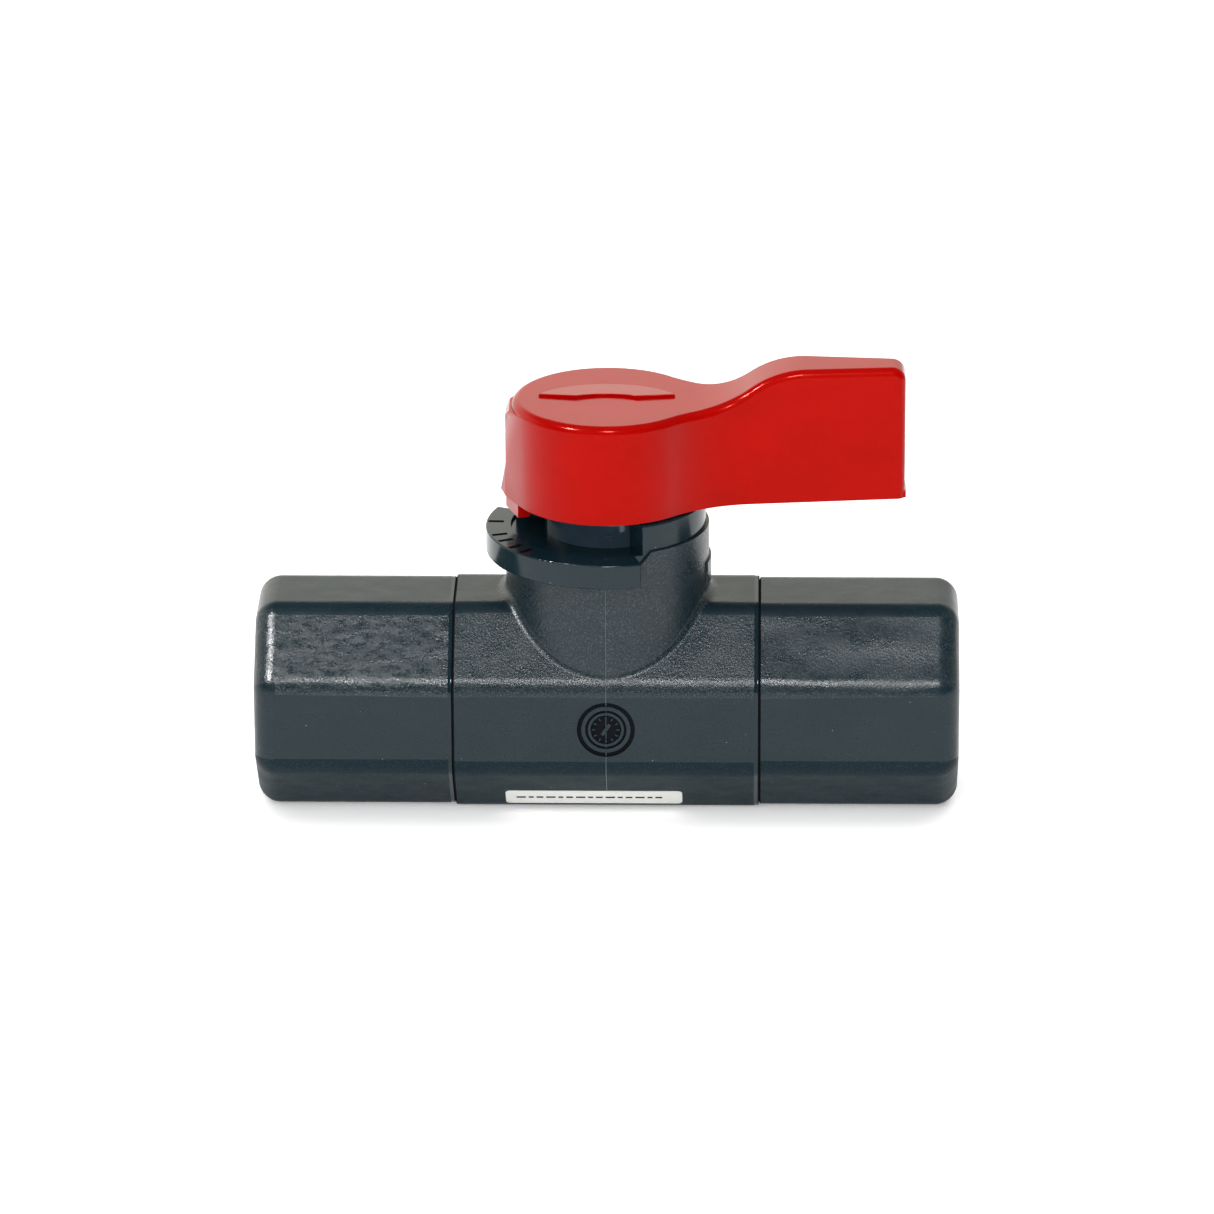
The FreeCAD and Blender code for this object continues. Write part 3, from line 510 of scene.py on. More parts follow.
TINY = 0.01 * MM                    # slack in a test on a vertex's place
FLAT_MARGIN = 0.03 * MM             # slack in a test for a flat's plane
BAR_SKIN = 16.5 * MM                # distance from the pipe's axis past which a bar's outside lies
# how far the painted shade spreads from a seam
SEAM_REACH = 0.38 * MM              # reach of a seam's dark walls and rounded edges
ROUNDED_TILT, END_TILT = 0.03, 0.9  # lean along the pipe of a mouth's rounding and of its end face
UNDER_LEANS: Span = (-0.98, -0.03)  # upward lean of the faces over the floor, without the bottom flat
CORNER_LEANS: Span = (0.74, 0.998)  # upward lean of the corners beside the top flat
CORNER_TILT = 0.2                   # greatest lean of those corners along the pipe
FRONT_LEAN = 0.3                    # least forward lean of the faces that carry the parting ridge
CORNER_BAND: Span = (0.1 * MM, 1.4 * MM)    # how far those corners lie outside the flats' circle


def merged_copy(node: str) -> Mesh:
    """Copy a node's mesh with its loose triangles joined.

    Args:
        node: The node's name.

    Returns:
        The joined copy, with its normals outwards.
    """
    mesh = bmesh.new()
    mesh.from_mesh(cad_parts[node].data)
    bmesh.ops.remove_doubles(mesh, verts=mesh.verts, dist=0.0005 * MM)
    bmesh.ops.recalc_face_normals(mesh, faces=mesh.faces)
    return mesh


def from_axis(place: Vector, axis_height: float) -> float:
    """Distance of a point from the pipe's axis."""
    return Vector((0, place.y, place.z - axis_height)).length


def everything(mesh: Mesh) -> list:
    """List a mesh's vertices, edges and faces together."""
    return [*mesh.verts, *mesh.edges, *mesh.faces]


def paint(mesh: Mesh, slot: int, chosen: Callable[[Vector, Vector], bool]) -> None:
    """Give a finish's slot to some of a mesh's faces.

    Args:
        mesh: The mesh.
        slot: The slot.
        chosen: The test that a face's middle and normal have to pass.
    """
    for face in mesh.faces:
        if chosen(face.calc_center_median(), face.normal):
            face.material_index = slot


@dataclass
class Piece:
    """A finished mesh on its way to becoming a shown piece.

    Attributes:
        name: The piece's name.
        mesh: Its mesh, with its place in it.
        body: The body that it rides on.
        slot: Name of its material slot; not used.
        finishes: Its finishes, in the order of its slots.
        nodes: The frame's nodes that it stands for.
        sharp: Angle over which an edge stays sharp, in degrees.
    """

    name: str
    mesh: Mesh
    body: Body
    slot: str
    finishes: Sequence[Finish]
    nodes: Sequence[str] = ()
    sharp: float = 28.0

    def show(self) -> None:
        """Turn the mesh into an object that rides on its body."""
        limit = math.radians(self.sharp)
        for face in self.mesh.faces:
            face.smooth = True
        for edge in self.mesh.edges:
            edge.smooth = edge.is_manifold and edge.calc_face_angle(0.0) < limit
        data = bpy.data.meshes.new(self.name)
        self.mesh.to_mesh(data)
        self.mesh.free()
        for finish in self.finishes:
            data.materials.append(finish.material())
        shown = linked(self.name, data)
        weighted = shown.modifiers.new("weighted normals", "WEIGHTED_NORMAL")
        weighted.keep_sharp = True
        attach(shown, self.body.value)
        if self.nodes:
            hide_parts(*self.nodes)
        log.info("%s: %d faces in %s", self.name, len(data.polygons), self.finishes[0].name)


def octagon_flat(axis_height: float, half_flats: float) -> Callable[[Vector, Vector], bool]:
    """Make a test for faces on the front, back, top or bottom flat of an octagonal bar.

    Args:
        axis_height: Height of the bar's axis.
        half_flats: Half of its size across the flats.

    Returns:
        The test, which takes a face's middle and normal.
    """
    def on_flat(middle: Vector, normal: Vector) -> bool:
        """Whether a face lies in the plane of one of the four flats."""
        depth = max(abs(middle.y * normal.y), abs((middle.z - axis_height) * normal.z))
        return abs(depth - half_flats) < FLAT_MARGIN
    return on_flat


def add_lip(mesh: Mesh, seam: float, width: float, drop: float, axis_height: float) -> None:
    """Set back a narrow polished band round an octagonal bar, on the -X side of a seam.

    Args:
        mesh: The bar's mesh.
        seam: Place of the seam along the pipe.
        width: The band's width.
        drop: How far the band is set back.
        axis_height: Height of the pipe's axis.
    """
    start = seam - width
    for place in (start, start + drop):
        bmesh.ops.bisect_plane(mesh, geom=everything(mesh), plane_co=X_AXIS * place, plane_no=X_AXIS)
    band = {vert for vert in mesh.verts if start + drop - TINY < vert.co.x < seam + TINY
            and from_axis(vert.co, axis_height) > BAR_SKIN}
    for vert in band:
        outwards = Vector((0, vert.co.y, vert.co.z - axis_height)).normalized()
        vert.co -= outwards * drop
    paint(mesh, Zone.LIP, lambda middle, normal: start - TINY < middle.x < seam + TINY
          and from_axis(middle, axis_height) > BAR_SKIN)


def off_slope(middle: Vector, normal: Vector) -> bool:
    """Whether a face at a pipe socket's mouth belongs with the flats or the end face."""
    less, more = sorted((abs(normal.y), abs(normal.z)))
    rounded, end_face = abs(normal.x) > ROUNDED_TILT, abs(normal.x) > END_TILT
    return end_face or rounded and less < more / 2


def under_slope(middle: Vector, normal: Vector) -> bool:
    """Whether a face leans down towards the floor, short of the bottom flat."""
    lowest, highest = UNDER_LEANS
    return lowest < normal.z < highest


def upper_corner(axis_height: float, half_flats: float) -> Callable[[Vector, Vector], bool]:
    """Make a test for faces on the rounded corners beside the top flat of an octagonal bar.

    Args:
        axis_height: Height of the bar's axis.
        half_flats: Half of its size across the flats.

    Returns:
        The test, which takes a face's middle and normal.
    """
    def on_corner(middle: Vector, normal: Vector) -> bool:
        """Whether a face leans and lies as those corners do."""
        away = from_axis(middle, axis_height) - half_flats
        leans = CORNER_LEANS[0] < normal.z < CORNER_LEANS[1] and abs(normal.x) < CORNER_TILT
        return leans and CORNER_BAND[0] < away < CORNER_BAND[1]
    return on_corner


def paint_seam_shade(mesh: Mesh, seam: float) -> None:
    """Paint shade onto the rounded edges and the walls of a seam, in their own dark finish."""
    paint(mesh, Zone.SEAM, lambda middle, normal: abs(middle.x - seam) < SEAM_REACH)


# ------------------------ the valve


@dataclass
class CentreBody:
    """Octagonal centre body with its neck, parting line, mould insert and lip.

    Attributes:
        lip_width: Width of the polished lip beside the right seam.
        lip_drop: How far the lip is set back.
        ridge_half: Half of the parting ridge's width.
        ridge_height: Height of the parting ridge.
        insert_radius: Radius of the round mould insert's face in its recess.
        insert_rise: How far the insert stands up from the recess's floor.
        groove_width: Width of the ring groove in the insert and of the ridge inside it.
        band_width: Width of the insert's outer band.
        marks: Number of radial marks on the insert.
        mark_size: Width and length of a mark.
        pointer_size: Width and length of the insert's pointer.
        pointer_turn: The pointer's turn from upright, in degrees.
        recess_margin: How far round the insert the recess's rounded edge reaches.
        recess_floor: Distance in front of the pipe's axis past which the recess's faces lie.
        recess_reach: Distance round the recess's middle in which its floor is looked for.
        skin: Distance in front of the pipe's axis past which the body's outside lies.
        ridge_start: Distance from the pipe's axis past which the ridge shows.
        ridge_front: Distance in front of the pipe's axis past which the ridge shows.
        ridge_gap: Gap between the ridge's upper end and the dial plate.
        ridge_crest: The ridge's width at its crest, as a share of its foot's.
    """

    lip_width: float = 0.8 * MM
    lip_drop: float = 0.05 * MM
    ridge_half: float = 0.07 * MM
    ridge_height: float = 0.06 * MM
    insert_radius: float = 3.9 * MM
    insert_rise: float = 0.36 * MM
    groove_width: float = 0.42 * MM
    band_width: float = 0.62 * MM
    marks: int = 12
    mark_size: Span = (0.22 * MM, 0.5 * MM)
    pointer_size: Span = (0.55 * MM, 2.2 * MM)
    pointer_turn: float = 35.0
    recess_margin: float = 0.8 * MM
    recess_floor: float = 16.8 * MM
    recess_reach: float = 5.0 * MM
    skin: float = 16.0 * MM
    ridge_start: float = 15.6 * MM
    ridge_front: float = 9.0 * MM
    ridge_gap: float = 0.2 * MM
    ridge_crest: float = 0.4

    def __post_init__(self) -> None:
        """Read the body's box."""
        self.low, self.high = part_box("valve_body")
        self.half_flats = self.high.y
        self.axis_height = self.low.z + self.half_flats

    def build(self) -> None:
        """Build the body and its details."""
        self.build_shell()
        self.build_parting_ridge()
        self.build_insert()

    def build_shell(self) -> None:
        """Shape the body itself and give its zones their finishes."""
        shell = merged_copy("valve_body")
        paint(shell, Zone.FLAT, octagon_flat(self.axis_height, self.half_flats))
        paint(shell, Zone.FLAT, upper_corner(self.axis_height, self.half_flats))
        paint(shell, Zone.UNDER, under_slope)
        # painted shade: the round recess in the front flat is painted dark
        paint(shell, Zone.SEAM, self.in_recess)
        add_lip(shell, self.high.x, self.lip_width, self.lip_drop, self.axis_height)
        # painted shade along both seams
        for seam in (self.low.x, self.high.x):
            paint_seam_shade(shell, seam)
        Piece("body_shell", shell, Body.HOUSING, "body_plastic",
              [GRAINED, SMOOTH, POLISHED, DARK_SHADE_AND_PRINT, SHADED], ["valve_body"]).show()

    def in_recess(self, middle: Vector, normal: Vector) -> bool:
        """Whether a face belongs to the round recess in the front flat."""
        reach = self.insert_radius + self.recess_margin
        near = Vector((middle.x, middle.z - self.axis_height)).length < reach
        return near and -self.half_flats + TINY < middle.y < -self.recess_floor

    def build_parting_ridge(self) -> None:
        """Raise the mould's parting line on the neck, the front flat and the lower slope."""
        strip = merged_copy("valve_body")
        for side in (-1, 1):
            bmesh.ops.bisect_plane(strip, geom=everything(strip), plane_co=X_AXIS * side * self.ridge_half,
                                   plane_no=X_AXIS * side, clear_outer=True)
        plate_low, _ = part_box("dial_ring")
        lost = [face for face in strip.faces if not self.on_front(face, plate_low.z - self.ridge_gap)]
        bmesh.ops.delete(strip, geom=lost, context="FACES")
        raised = bmesh.ops.extrude_face_region(strip, geom=strip.faces[:])
        tops = [item for item in raised["geom"] if isinstance(item, bmesh.types.BMVert)]
        strip.normal_update()
        lifts = {vert: vert.normal.copy() for vert in tops}
        for vert, outwards in lifts.items():
            outwards.x = 0
            vert.co += outwards.normalized() * self.ridge_height
            vert.co.x *= self.ridge_crest
        bmesh.ops.recalc_face_normals(strip, faces=strip.faces)
        # painted highlight: the ridge takes the lighter parting line finish
        Piece("parting_ridge", strip, Body.HOUSING, "body_plastic", [PARTING_HIGHLIGHT], sharp=50).show()

    def on_front(self, face: bmesh.types.BMFace, ceiling: float) -> bool:
        """Tell whether a face of the ridge's strip is kept.

        Args:
            face: The face.
            ceiling: Height of the ridge's upper end.

        Returns:
            Whether it is on the body's outer front, below the ceiling.
        """
        middle = face.calc_center_median()
        outside = from_axis(middle, self.axis_height) > self.ridge_start
        faces_front = face.normal.y < -FRONT_LEAN
        return outside and faces_front and middle.y < -self.ridge_front and middle.z < ceiling

    def build_insert(self) -> None:
        """Fill the round recess with a plain mould insert: rim, ring groove and radial marks."""
        floor = -self.half_flats + self.recess_depth()
        rise, outer, groove = self.insert_rise, self.insert_radius, self.groove_width
        low = rise * 0.1
        band_inner = outer - self.band_width
        ring_outer = band_inner - groove
        ring_inner = ring_outer - groove
        steps = [(0.0, low), (ring_inner, low), (ring_inner, rise), (ring_outer, rise), (ring_outer, low),
                 (band_inner, low), (band_inner, rise), (outer, rise), (outer + rise / 3, 0.0)]
        disc = bmesh.new()
        chain = [disc.verts.new((radius, floor - height, 0)) for radius, height in steps]
        for first, second in zip(chain, chain[1:]):
            disc.edges.new((first, second))
        bmesh.ops.spin(disc, geom=everything(disc), cent=(0, 0, 0), axis=Y_AXIS, angle=math.tau, steps=72,
                       use_merge=True)
        bmesh.ops.remove_doubles(disc, verts=disc.verts, dist=0.001 * MM)
        bmesh.ops.recalc_face_normals(disc, faces=disc.faces)
        # painted shade: the insert's low floors and grooves take the dark finish
        paint(disc, 1, lambda middle, normal: middle.y > floor - rise / 2 and normal.y < -0.9)
        width, length = self.mark_size
        for count in range(self.marks):
            turn = Matrix.Rotation(math.tau * count / self.marks, 4, "Y")
            bar = Matrix.Diagonal((width, rise, length, 1))
            place = Matrix.Translation((0, floor - rise / 2, ring_inner - length))
            bmesh.ops.create_cube(disc, size=1.0, matrix=turn @ place @ bar)
        width, length = self.pointer_size
        bmesh.ops.create_cube(disc, size=1.0, matrix=Matrix.Translation((0, floor - rise / 2, 0))
                              @ Matrix.Rotation(math.radians(self.pointer_turn), 4, "Y")
                              @ Matrix.Diagonal((width, rise, length, 1)))
        bmesh.ops.translate(disc, verts=disc.verts, vec=Z_AXIS * self.axis_height)
        Piece("mould_insert", disc, Body.HOUSING, "body_plastic", [SMOOTH, DARK_SHADE_AND_PRINT], sharp=25).show()

    def recess_depth(self) -> float:
        """Measure the round recess.

        Returns:
            Its depth, read off the body's own vertices near its middle.
        """
        near = [vert.co.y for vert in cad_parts["valve_body"].data.vertices
                if vert.co.y < -self.skin
                and Vector((vert.co.x, vert.co.z - self.axis_height)).length < self.recess_reach]
        return max(near) + self.half_flats


@dataclass
class PipeSocket:
    """Octagonal pipe socket with its polished lip and grained slopes.

    Attributes:
        end: Which end it is.
        lip_width: Width of the polished lip beside the seam.
        lip_drop: How far the lip is set back.
    """

    end: End
    lip_width: float = 0.8 * MM
    lip_drop: float = 0.04 * MM

    def build(self) -> None:
        """Shape the socket and give its zones their finishes."""
        node = f"end_socket_{self.end.word}"
        low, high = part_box(node)
        axis_height = (low.z + high.z) / 2
        shell = merged_copy(node)
        body_low, body_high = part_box("valve_body")
        paint(shell, Zone.FLAT, octagon_flat(axis_height, high.y))
        paint(shell, Zone.FLAT, off_slope)
        paint(shell, Zone.FLAT, upper_corner(axis_height, high.y))
        paint(shell, Zone.UNDER, under_slope)
        if self.end is End.LEFT:
            add_lip(shell, body_low.x, self.lip_width, self.lip_drop, axis_height)
        # painted shade along the seam
        paint_seam_shade(shell, body_low.x if self.end is End.LEFT else body_high.x)
        slopes = MOTTLED if self.end is End.LEFT else WAVY
        Piece(f"socket_{self.end.word}", shell, Body.HOUSING, "socket_plastic",
              [slopes, SMOOTH, POLISHED, DARK_SHADE_AND_PRINT, SHADED], [node]).show()


@dataclass
class SeamShadeRing:
    """A dark ring of painted shade deep in the seam between the centre body and a pipe socket.

    Attributes:
        end: Which end it is at.
        thickness: Its thickness along the pipe.
        depth: How far its flats lie under the body's flats.
        wall: Height of its section, across the pipe.
        corner: Rounding of its corners.
    """

    end: End
    thickness: float = 0.2 * MM
    depth: float = 0.55 * MM
    wall: float = 1.6 * MM
    corner: float = 1.7 * MM

    def build(self) -> None:
        """Spin the ring's section into an octagon and round its corners."""
        low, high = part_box("valve_body")
        axis_height = low.z + high.y
        half_turn = math.pi / 8
        outer = (high.y - self.depth) / math.cos(half_turn)
        inner = outer - self.wall / math.cos(half_turn)
        start = high.x if self.end is End.RIGHT else low.x - self.thickness
        ring = bmesh.new()
        section = [ring.verts.new((place, 0, radius)) for place, radius in
                   ((start, inner), (start + self.thickness, inner), (start + self.thickness, outer),
                    (start, outer))]
        for first, second in zip(section, [*section[1:], section[0]]):
            ring.edges.new((first, second))
        bmesh.ops.rotate(ring, verts=ring.verts, cent=(0, 0, 0), matrix=Matrix.Rotation(half_turn, 3, "X"))
        bmesh.ops.spin(ring, geom=everything(ring), cent=(0, 0, 0), axis=X_AXIS, angle=math.tau, steps=8,
                       use_merge=True)
        bmesh.ops.remove_doubles(ring, verts=ring.verts, dist=0.001 * MM)
        bmesh.ops.recalc_face_normals(ring, faces=ring.faces)
        middle = (inner + outer) / 2
        corners = [edge for edge in ring.edges
                   if abs(edge.verts[0].co.x - edge.verts[1].co.x) > self.thickness / 2
                   and all(Vector((0, vert.co.y, vert.co.z)).length > middle for vert in edge.verts)]
        bmesh.ops.bevel(ring, geom=corners, affect="EDGES", offset=self.corner, segments=4, profile=0.5,
                        material=-1, clamp_overlap=True)
        bmesh.ops.translate(ring, verts=ring.verts, vec=Z_AXIS * axis_height)
        Piece(f"seam_shade_ring_{self.end.word}", ring, Body.HOUSING, "body_plastic", [DARK_SHADE_AND_PRINT]).show()


@dataclass
class DialRing:
    """Polished dial plate with its stop wall, and painted shade in its tick grooves.

    Attributes:
        tick_depth: Depth of a tick's groove.
        tick_zone: Distance from the stem beyond which the ticks lie.
    """

    tick_depth: float = 0.4 * MM
    tick_zone: float = 14.0 * MM

    def build(self) -> None:
        """Shape the ring and paint shade into its tick grooves."""
        ring = merged_copy("dial_ring")
        top = max(vert.co.z for vert in ring.verts if vert.co.x < -self.tick_zone and vert.co.y < 0)
        foot, edge = top - self.tick_depth, 0.02 * MM
        for face in ring.faces:
            heights = [vert.co.z for vert in face.verts]
            middle = face.calc_center_median()
            if Vector((middle.x, middle.y)).length > self.tick_zone and abs(min(heights) - foot) < edge:
                # painted shade in the tick grooves
                face.material_index = 1
        Piece("dial_plate", ring, Body.HOUSING, "dial_plastic", [POLISHED, DARK_SHADE_AND_PRINT], ["dial_ring"]).show()


@dataclass
class GlandBush:
    """Glossy collar round the stem, with a small mould mark on its front.

    Attributes:
        mark_ring: Radius of the little raised loop.
        mark_section: Radius of the loop's section.
        mark_drop: How far the loop's middle lies under the collar's top.
        mark_side: How far it lies to the right of the stem.
    """

    mark_ring: float = 0.55 * MM
    mark_section: float = 0.14 * MM
    mark_drop: float = 3.6 * MM
    mark_side: float = 0.6 * MM

    def build(self) -> None:
        """Shape the collar and its mark."""
        Piece("gland_collar", merged_copy("gland_bush"), Body.HOUSING, "gland_plastic", [GLOSSY],
              ["gland_bush"]).show()
        low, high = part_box("gland_bush")
        loop = bmesh.new()
        bmesh.ops.create_circle(loop, segments=10, radius=self.mark_section,
                                matrix=Matrix.Translation(X_AXIS * self.mark_ring)
                                @ Matrix.Rotation(math.pi / 2, 4, "X"))
        bmesh.ops.spin(loop, geom=everything(loop), cent=(0, 0, 0), axis=Z_AXIS, angle=math.tau, steps=28,
                       use_merge=True)
        bmesh.ops.remove_doubles(loop, verts=loop.verts, dist=0.0005 * MM)
        bmesh.ops.recalc_face_normals(loop, faces=loop.faces)
        place = Matrix.Translation((self.mark_side, low.y, high.z - self.mark_drop))
        upright = place @ Matrix.Rotation(math.pi / 2, 4, "X")
        bmesh.ops.transform(loop, matrix=upright, verts=loop.verts)
        Piece("collar_mark", loop, Body.HOUSING, "gland_plastic", [GLOSSY], sharp=60).show()


@dataclass
class Lever:
    """Red lever with softened edges on its raised mark and a small lip under the tail's end.

    Attributes:
        soft_edge: Rounding of the raised mark's edges.
        mark_fall: How far the mark's upper edges lie under its crown at most.
        mark_angle: Angle over which an edge of the mark is rounded, in degrees.
        mark_front: Distance in front of the stem that takes in the mark's front line.
        mark_back: Distance behind the stem that takes in the mark's back line.
        mark_reach: Distance either side of the stem that takes in the mark.
        lip_height: Height of the lip at the foot of the tail's end.
        lip_reach: How far the lip stands out.
        lip_inset: How far the lip's sides stand in from the tail's sides.
        end_zone: Length of the tail's end that is measured for the lip.
    """

    soft_edge: float = 0.15 * MM
    mark_fall: float = 0.12 * MM
    mark_angle: float = 40.0
    mark_front: float = 2.8 * MM
    mark_back: float = 7.0 * MM
    mark_reach: float = 12.0 * MM
    lip_height: float = 1.0 * MM
    lip_reach: float = 0.18 * MM
    lip_inset: float = 0.4 * MM
    end_zone: float = 0.6 * MM

    def build(self) -> None:
        """Shape the lever and its lip."""
        shell = merged_copy("handle")
        self.soften_mark(shell)
        self.add_tail_lip(shell)
        Piece("lever_shell", shell, Body.LEVER, "lever_plastic", [LEVER_RED], ["handle"], sharp=32).show()

    def soften_mark(self, shell: Mesh) -> None:
        """Round the upper edges of the raised mark on the hub.

        Args:
            shell: The lever's mesh.
        """
        low = max(vert.co.z for vert in shell.verts if self.near_mark(vert.co)) - self.mark_fall
        rim = [edge for edge in shell.edges
               if edge.is_manifold and edge.calc_face_angle(0.0) > math.radians(self.mark_angle)
               and all(self.near_mark(vert.co) and vert.co.z > low for vert in edge.verts)]
        bmesh.ops.bevel(shell, geom=rim, affect="EDGES", offset=self.soft_edge, offset_type="OFFSET",
                        segments=3, profile=0.5, material=-1, clamp_overlap=True)
        log.info("softened %d edges of the raised mark", len(rim))

    def near_mark(self, place: Vector) -> bool:
        """Whether a point is within the raised mark's outline, seen from above."""
        return abs(place.x) < self.mark_reach and -self.mark_front < place.y < self.mark_back

    def add_tail_lip(self, shell: Mesh) -> None:
        """Add the lip at the foot of the tail's end.

        Args:
            shell: The lever's mesh.
        """
        end = max(vert.co.x for vert in shell.verts)
        near = [vert.co for vert in shell.verts if vert.co.x > end - self.end_zone]
        foot = min(place.z for place in near)
        half = max(place.y for place in near) - self.lip_inset
        size = Matrix.Diagonal((self.lip_reach * 2, half * 2, self.lip_height, 1))
        made = bmesh.ops.create_cube(shell, size=1.0,
                                     matrix=Matrix.Translation((end, 0, foot + self.lip_height / 2)) @ size)
        edges = list(dict.fromkeys(edge for vert in made["verts"] for edge in vert.link_edges))
        bmesh.ops.bevel(shell, geom=edges, affect="EDGES", offset=self.lip_reach / 2, segments=3,
                        profile=0.5, material=-1, clamp_overlap=True)


@dataclass
class LabelPrint:
    """A plain row of dashes on the label, in place of its wording.

    Attributes:
        lengths: Lengths of the dashes, which repeat along the row.
        gap: Gap between two dashes.
        height: Height of a dash.
        lift: How far a dash stands up from the film.
        margin: Bare film at each end of the row.
        tilt: Turn of the slope that carries the label, in degrees.
    """

    lengths: Sequence[float] = (1.5 * MM, 0.8 * MM, 1.1 * MM)
    gap: float = 0.45 * MM
    height: float = 0.55 * MM
    lift: float = 0.015 * MM
    margin: float = 1.7 * MM
    tilt: float = -45.0

    def build(self) -> None:
        """Lay the row of dashes along the middle of the label."""
        low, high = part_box("origin_label")
        tilt = Matrix.Rotation(math.radians(self.tilt), 4, "X")
        outwards = tilt.to_3x3() @ -Z_AXIS
        face = max(vert.co.dot(outwards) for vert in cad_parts["origin_label"].data.vertices)
        middle = Vector((0, (low.y + high.y) / 2, (low.z + high.z) / 2))
        centre = middle + outwards * (face - middle.dot(outwards))
        row = bmesh.new()
        start, count = low.x + self.margin, 0
        while start < high.x - self.margin - max(self.lengths):
            length = self.lengths[count % len(self.lengths)]
            place = Matrix.Translation(centre + X_AXIS * (start + length / 2))
            size = Matrix.Diagonal((length, self.height, self.lift * 2, 1))
            bmesh.ops.create_cube(row, size=1.0, matrix=place @ tilt @ size)
            start, count = start + length + self.gap, count + 1
        Piece("label_print", row, Body.HOUSING, "label_film", [DARK_SHADE_AND_PRINT]).show()


@dataclass
class HiddenWorks:
    """Ball, stem, seats, seals and label, which keep their own shapes."""

    def dress(self) -> None:
        """Give each of these nodes its finish."""
        finishes: dict[str, Finish] = {"ball": BALL_GREY, "stem": STEM_SLATE, "stem_thrust_ring": WaxySeat(),
                                       "origin_label": LabelFilm()}
        for end in End:
            finishes[f"ball_seat_{end.word}"] = WaxySeat()
            finishes[f"seat_cushion_{end.word}"] = Rubber()
            finishes[f"end_seal_{end.word}"] = Rubber()
        for level in ("lower", "upper"):
            finishes[f"stem_seal_{level}"] = Rubber()
        for node, finish in finishes.items():
            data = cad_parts[node].data
            data.materials.clear()
            data.materials.append(finish.material())
            log.info("%s dressed in %s", node, finish.name)


# ------------------------ the studio


@dataclass(frozen=True)
class SoftBox:
    """One square area light that faces the valve.

    Attributes:
        name: The light's name.
        azimuth: Its direction round the valve, in degrees from the front towards +X.
        elevation: Its height over the floor, in degrees.
        distance: Its distance.
        size: Its side.
        power: Its power, in watts.
        seen: Whether glossy surfaces mirror it.
        fills: Whether it lights matte surfaces.
    """

    name: str
    azimuth: float
    elevation: float
    distance: float
    size: float
    power: float
    seen: bool = True
    fills: bool = True

    def hang(self) -> None:
        """Add the light to the scene."""
        turn, lift = math.radians(self.azimuth), math.radians(self.elevation)
        away = Vector((math.sin(turn) * math.cos(lift), -math.cos(turn) * math.cos(lift), math.sin(lift)))
        light = bpy.data.lights.new(self.name, "AREA")
        light.size = self.size
        light.energy = self.power
        lamp = linked(self.name, light)
        lamp.location = away * self.distance
        lamp.rotation_euler = (-away).to_track_quat("-Z", "Y").to_euler()
        lamp.visible_glossy = self.seen
        lamp.visible_diffuse = self.fills


@dataclass(frozen=True)
class Room:
    """The room's own light: a bright backdrop low behind the valve and a dim room in front.

    Attributes:
        behind: Span of the direction's Y over which the backdrop begins, and its brightness.
        low: Span of its Z over which the backdrop ends, and its brightness.
        leftwards: Span of its X over which it dims to the right, and its brightness.
        backdrop: Strength of the backdrop.
        ambient: Strength of the room everywhere.
        colour: The light's colour.
    """

    behind: tuple[Span, Span] = ((-0.35, 0.45), (0.0, 1.0))
    low: tuple[Span, Span] = ((0.4, 0.7), (1.0, 0.02))
    leftwards: tuple[Span, Span] = ((-0.2, 0.8), (1.0, 0.3))
    backdrop: float = 1.3
    ambient: float = 0.06
    colour: Colour = (1.0, 0.98, 0.87)

    def build(self) -> None:
        """Set the scene's world."""
        world = bpy.data.worlds.new("studio")
        bpy.context.scene.world = world
        wiring = Wiring(world, "Generated")
        axes = wiring.tree.nodes.new("ShaderNodeSeparateXYZ")
        wiring.join(wiring.place, axes.inputs["Vector"])
        behind, low, leftwards = (
            wiring.span(axes.outputs[axis], start, result, curve="SMOOTHSTEP")
            for axis, (start, result) in (("Y", self.behind), ("Z", self.low), ("X", self.leftwards)))
        level = wiring.combine("MULTIPLY", wiring.combine("MULTIPLY", behind, low), leftwards)
        level = wiring.combine("ADD", wiring.combine("MULTIPLY", level, self.backdrop), self.ambient)
        background = wiring.tree.nodes["Background"]
        wiring.join(level, background.inputs["Strength"])
        background.inputs["Color"].default_value = (*self.colour, 1.0)


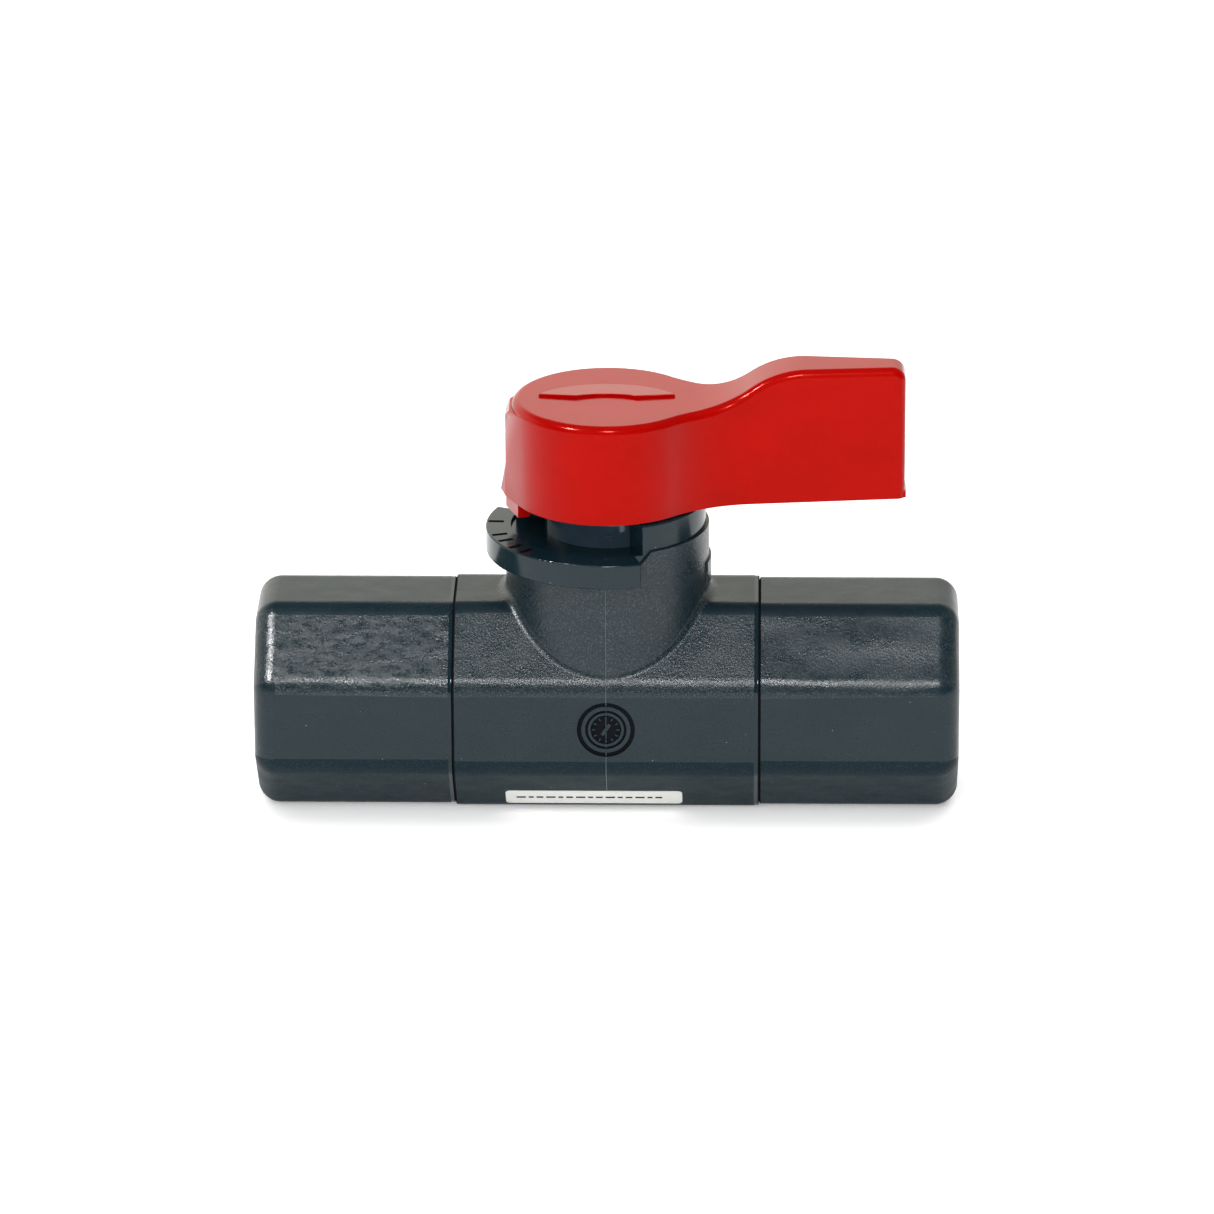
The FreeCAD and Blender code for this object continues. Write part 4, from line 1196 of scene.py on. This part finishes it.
@dataclass
class Studio:
    """Pale floor, soft lights and the camera.

    Attributes:
        azimuth: Direction that the camera looks from, in degrees round the stem.
        elevation: Its height over the horizon, in degrees.
        roll: Its roll, in degrees.
        distance: Its distance from the aim.
        aim_rise: How far the aim lies above the pipe's axis, up the picture.
        aim_side: How far the aim lies to the right of the stem.
        sensor: The sensor's width, in millimetres.
        width: Width of what the picture takes in at the aim.
        floor_reach: Distance from the stem to the floor's sides.
        room: The room's own light.
        boxes: The soft boxes.
    """

    azimuth: float = 1.25
    elevation: float = 21.0
    roll: float = -0.24
    distance: float = 1.229
    aim_rise: float = 13.24 * MM
    aim_side: float = -0.12 * MM
    sensor: float = 36.0
    width: float = 194.8 * MM
    floor_reach: float = 4.0
    room: Room = Room()
    boxes: Sequence[SoftBox] = (
        SoftBox("overhead_fill", 180.0, 80.0, 1.5, 2.4, 36.0, seen=False),
        SoftBox("front_fill", -8.0, 28.0, 1.5, 1.6, 33.0, seen=False),
        SoftBox("front_box", 3.0, 50.0, 1.2, 0.15, 7.0, fills=False),
        SoftBox("left_box", -58.0, 52.0, 1.2, 0.15, 18.0, fills=False),
    )

    def build(self) -> None:
        """Build the whole studio."""
        self.build_floor()
        self.room.build()
        for box in self.boxes:
            box.hang()
        self.build_camera()

    def build_floor(self) -> None:
        """Lay the paper floor under the valve."""
        mesh = bmesh.new()
        bmesh.ops.create_grid(mesh, x_segments=8, y_segments=8, size=self.floor_reach)
        data = bpy.data.meshes.new("studio_floor")
        mesh.to_mesh(data)
        mesh.free()
        data.materials.append(StudioPaper().material())
        linked("studio_floor", data)

    def build_camera(self) -> None:
        """Set up the camera at its viewing angle."""
        turn, lift = math.radians(self.azimuth), math.radians(self.elevation)
        back = Vector((math.sin(turn) * math.cos(lift), -math.cos(turn) * math.cos(lift), math.sin(lift)))
        side = Vector((math.cos(turn), math.sin(turn), 0))
        low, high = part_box("end_socket_left")
        aim = Z_AXIS * (low.z + high.z) / 2 + back.cross(side) * self.aim_rise + side * self.aim_side
        data = bpy.data.cameras.new("camera")
        data.sensor_width = self.sensor
        data.lens = self.sensor * self.distance / self.width
        data.clip_end = 20.0
        camera = linked("camera", data)
        camera.location = aim + back * self.distance
        camera.rotation_euler = ((-back).to_track_quat("-Z", "Y").to_matrix()
                                 @ Matrix.Rotation(math.radians(self.roll), 3, "Z")).to_euler()
        bpy.context.scene.camera = camera
        bpy.context.scene.view_settings.view_transform = "Standard"


def main() -> None:
    """Build the valve's pieces and the studio."""
    logging.basicConfig(level=logging.INFO, format="%(name)s: %(message)s")
    Studio().build()
    CentreBody().build()
    for end in End:
        PipeSocket(end).build()
        SeamShadeRing(end).build()
    DialRing().build()
    GlandBush().build()
    Lever().build()
    LabelPrint().build()
    HiddenWorks().dress()


if __name__ == "__main__":
    main()
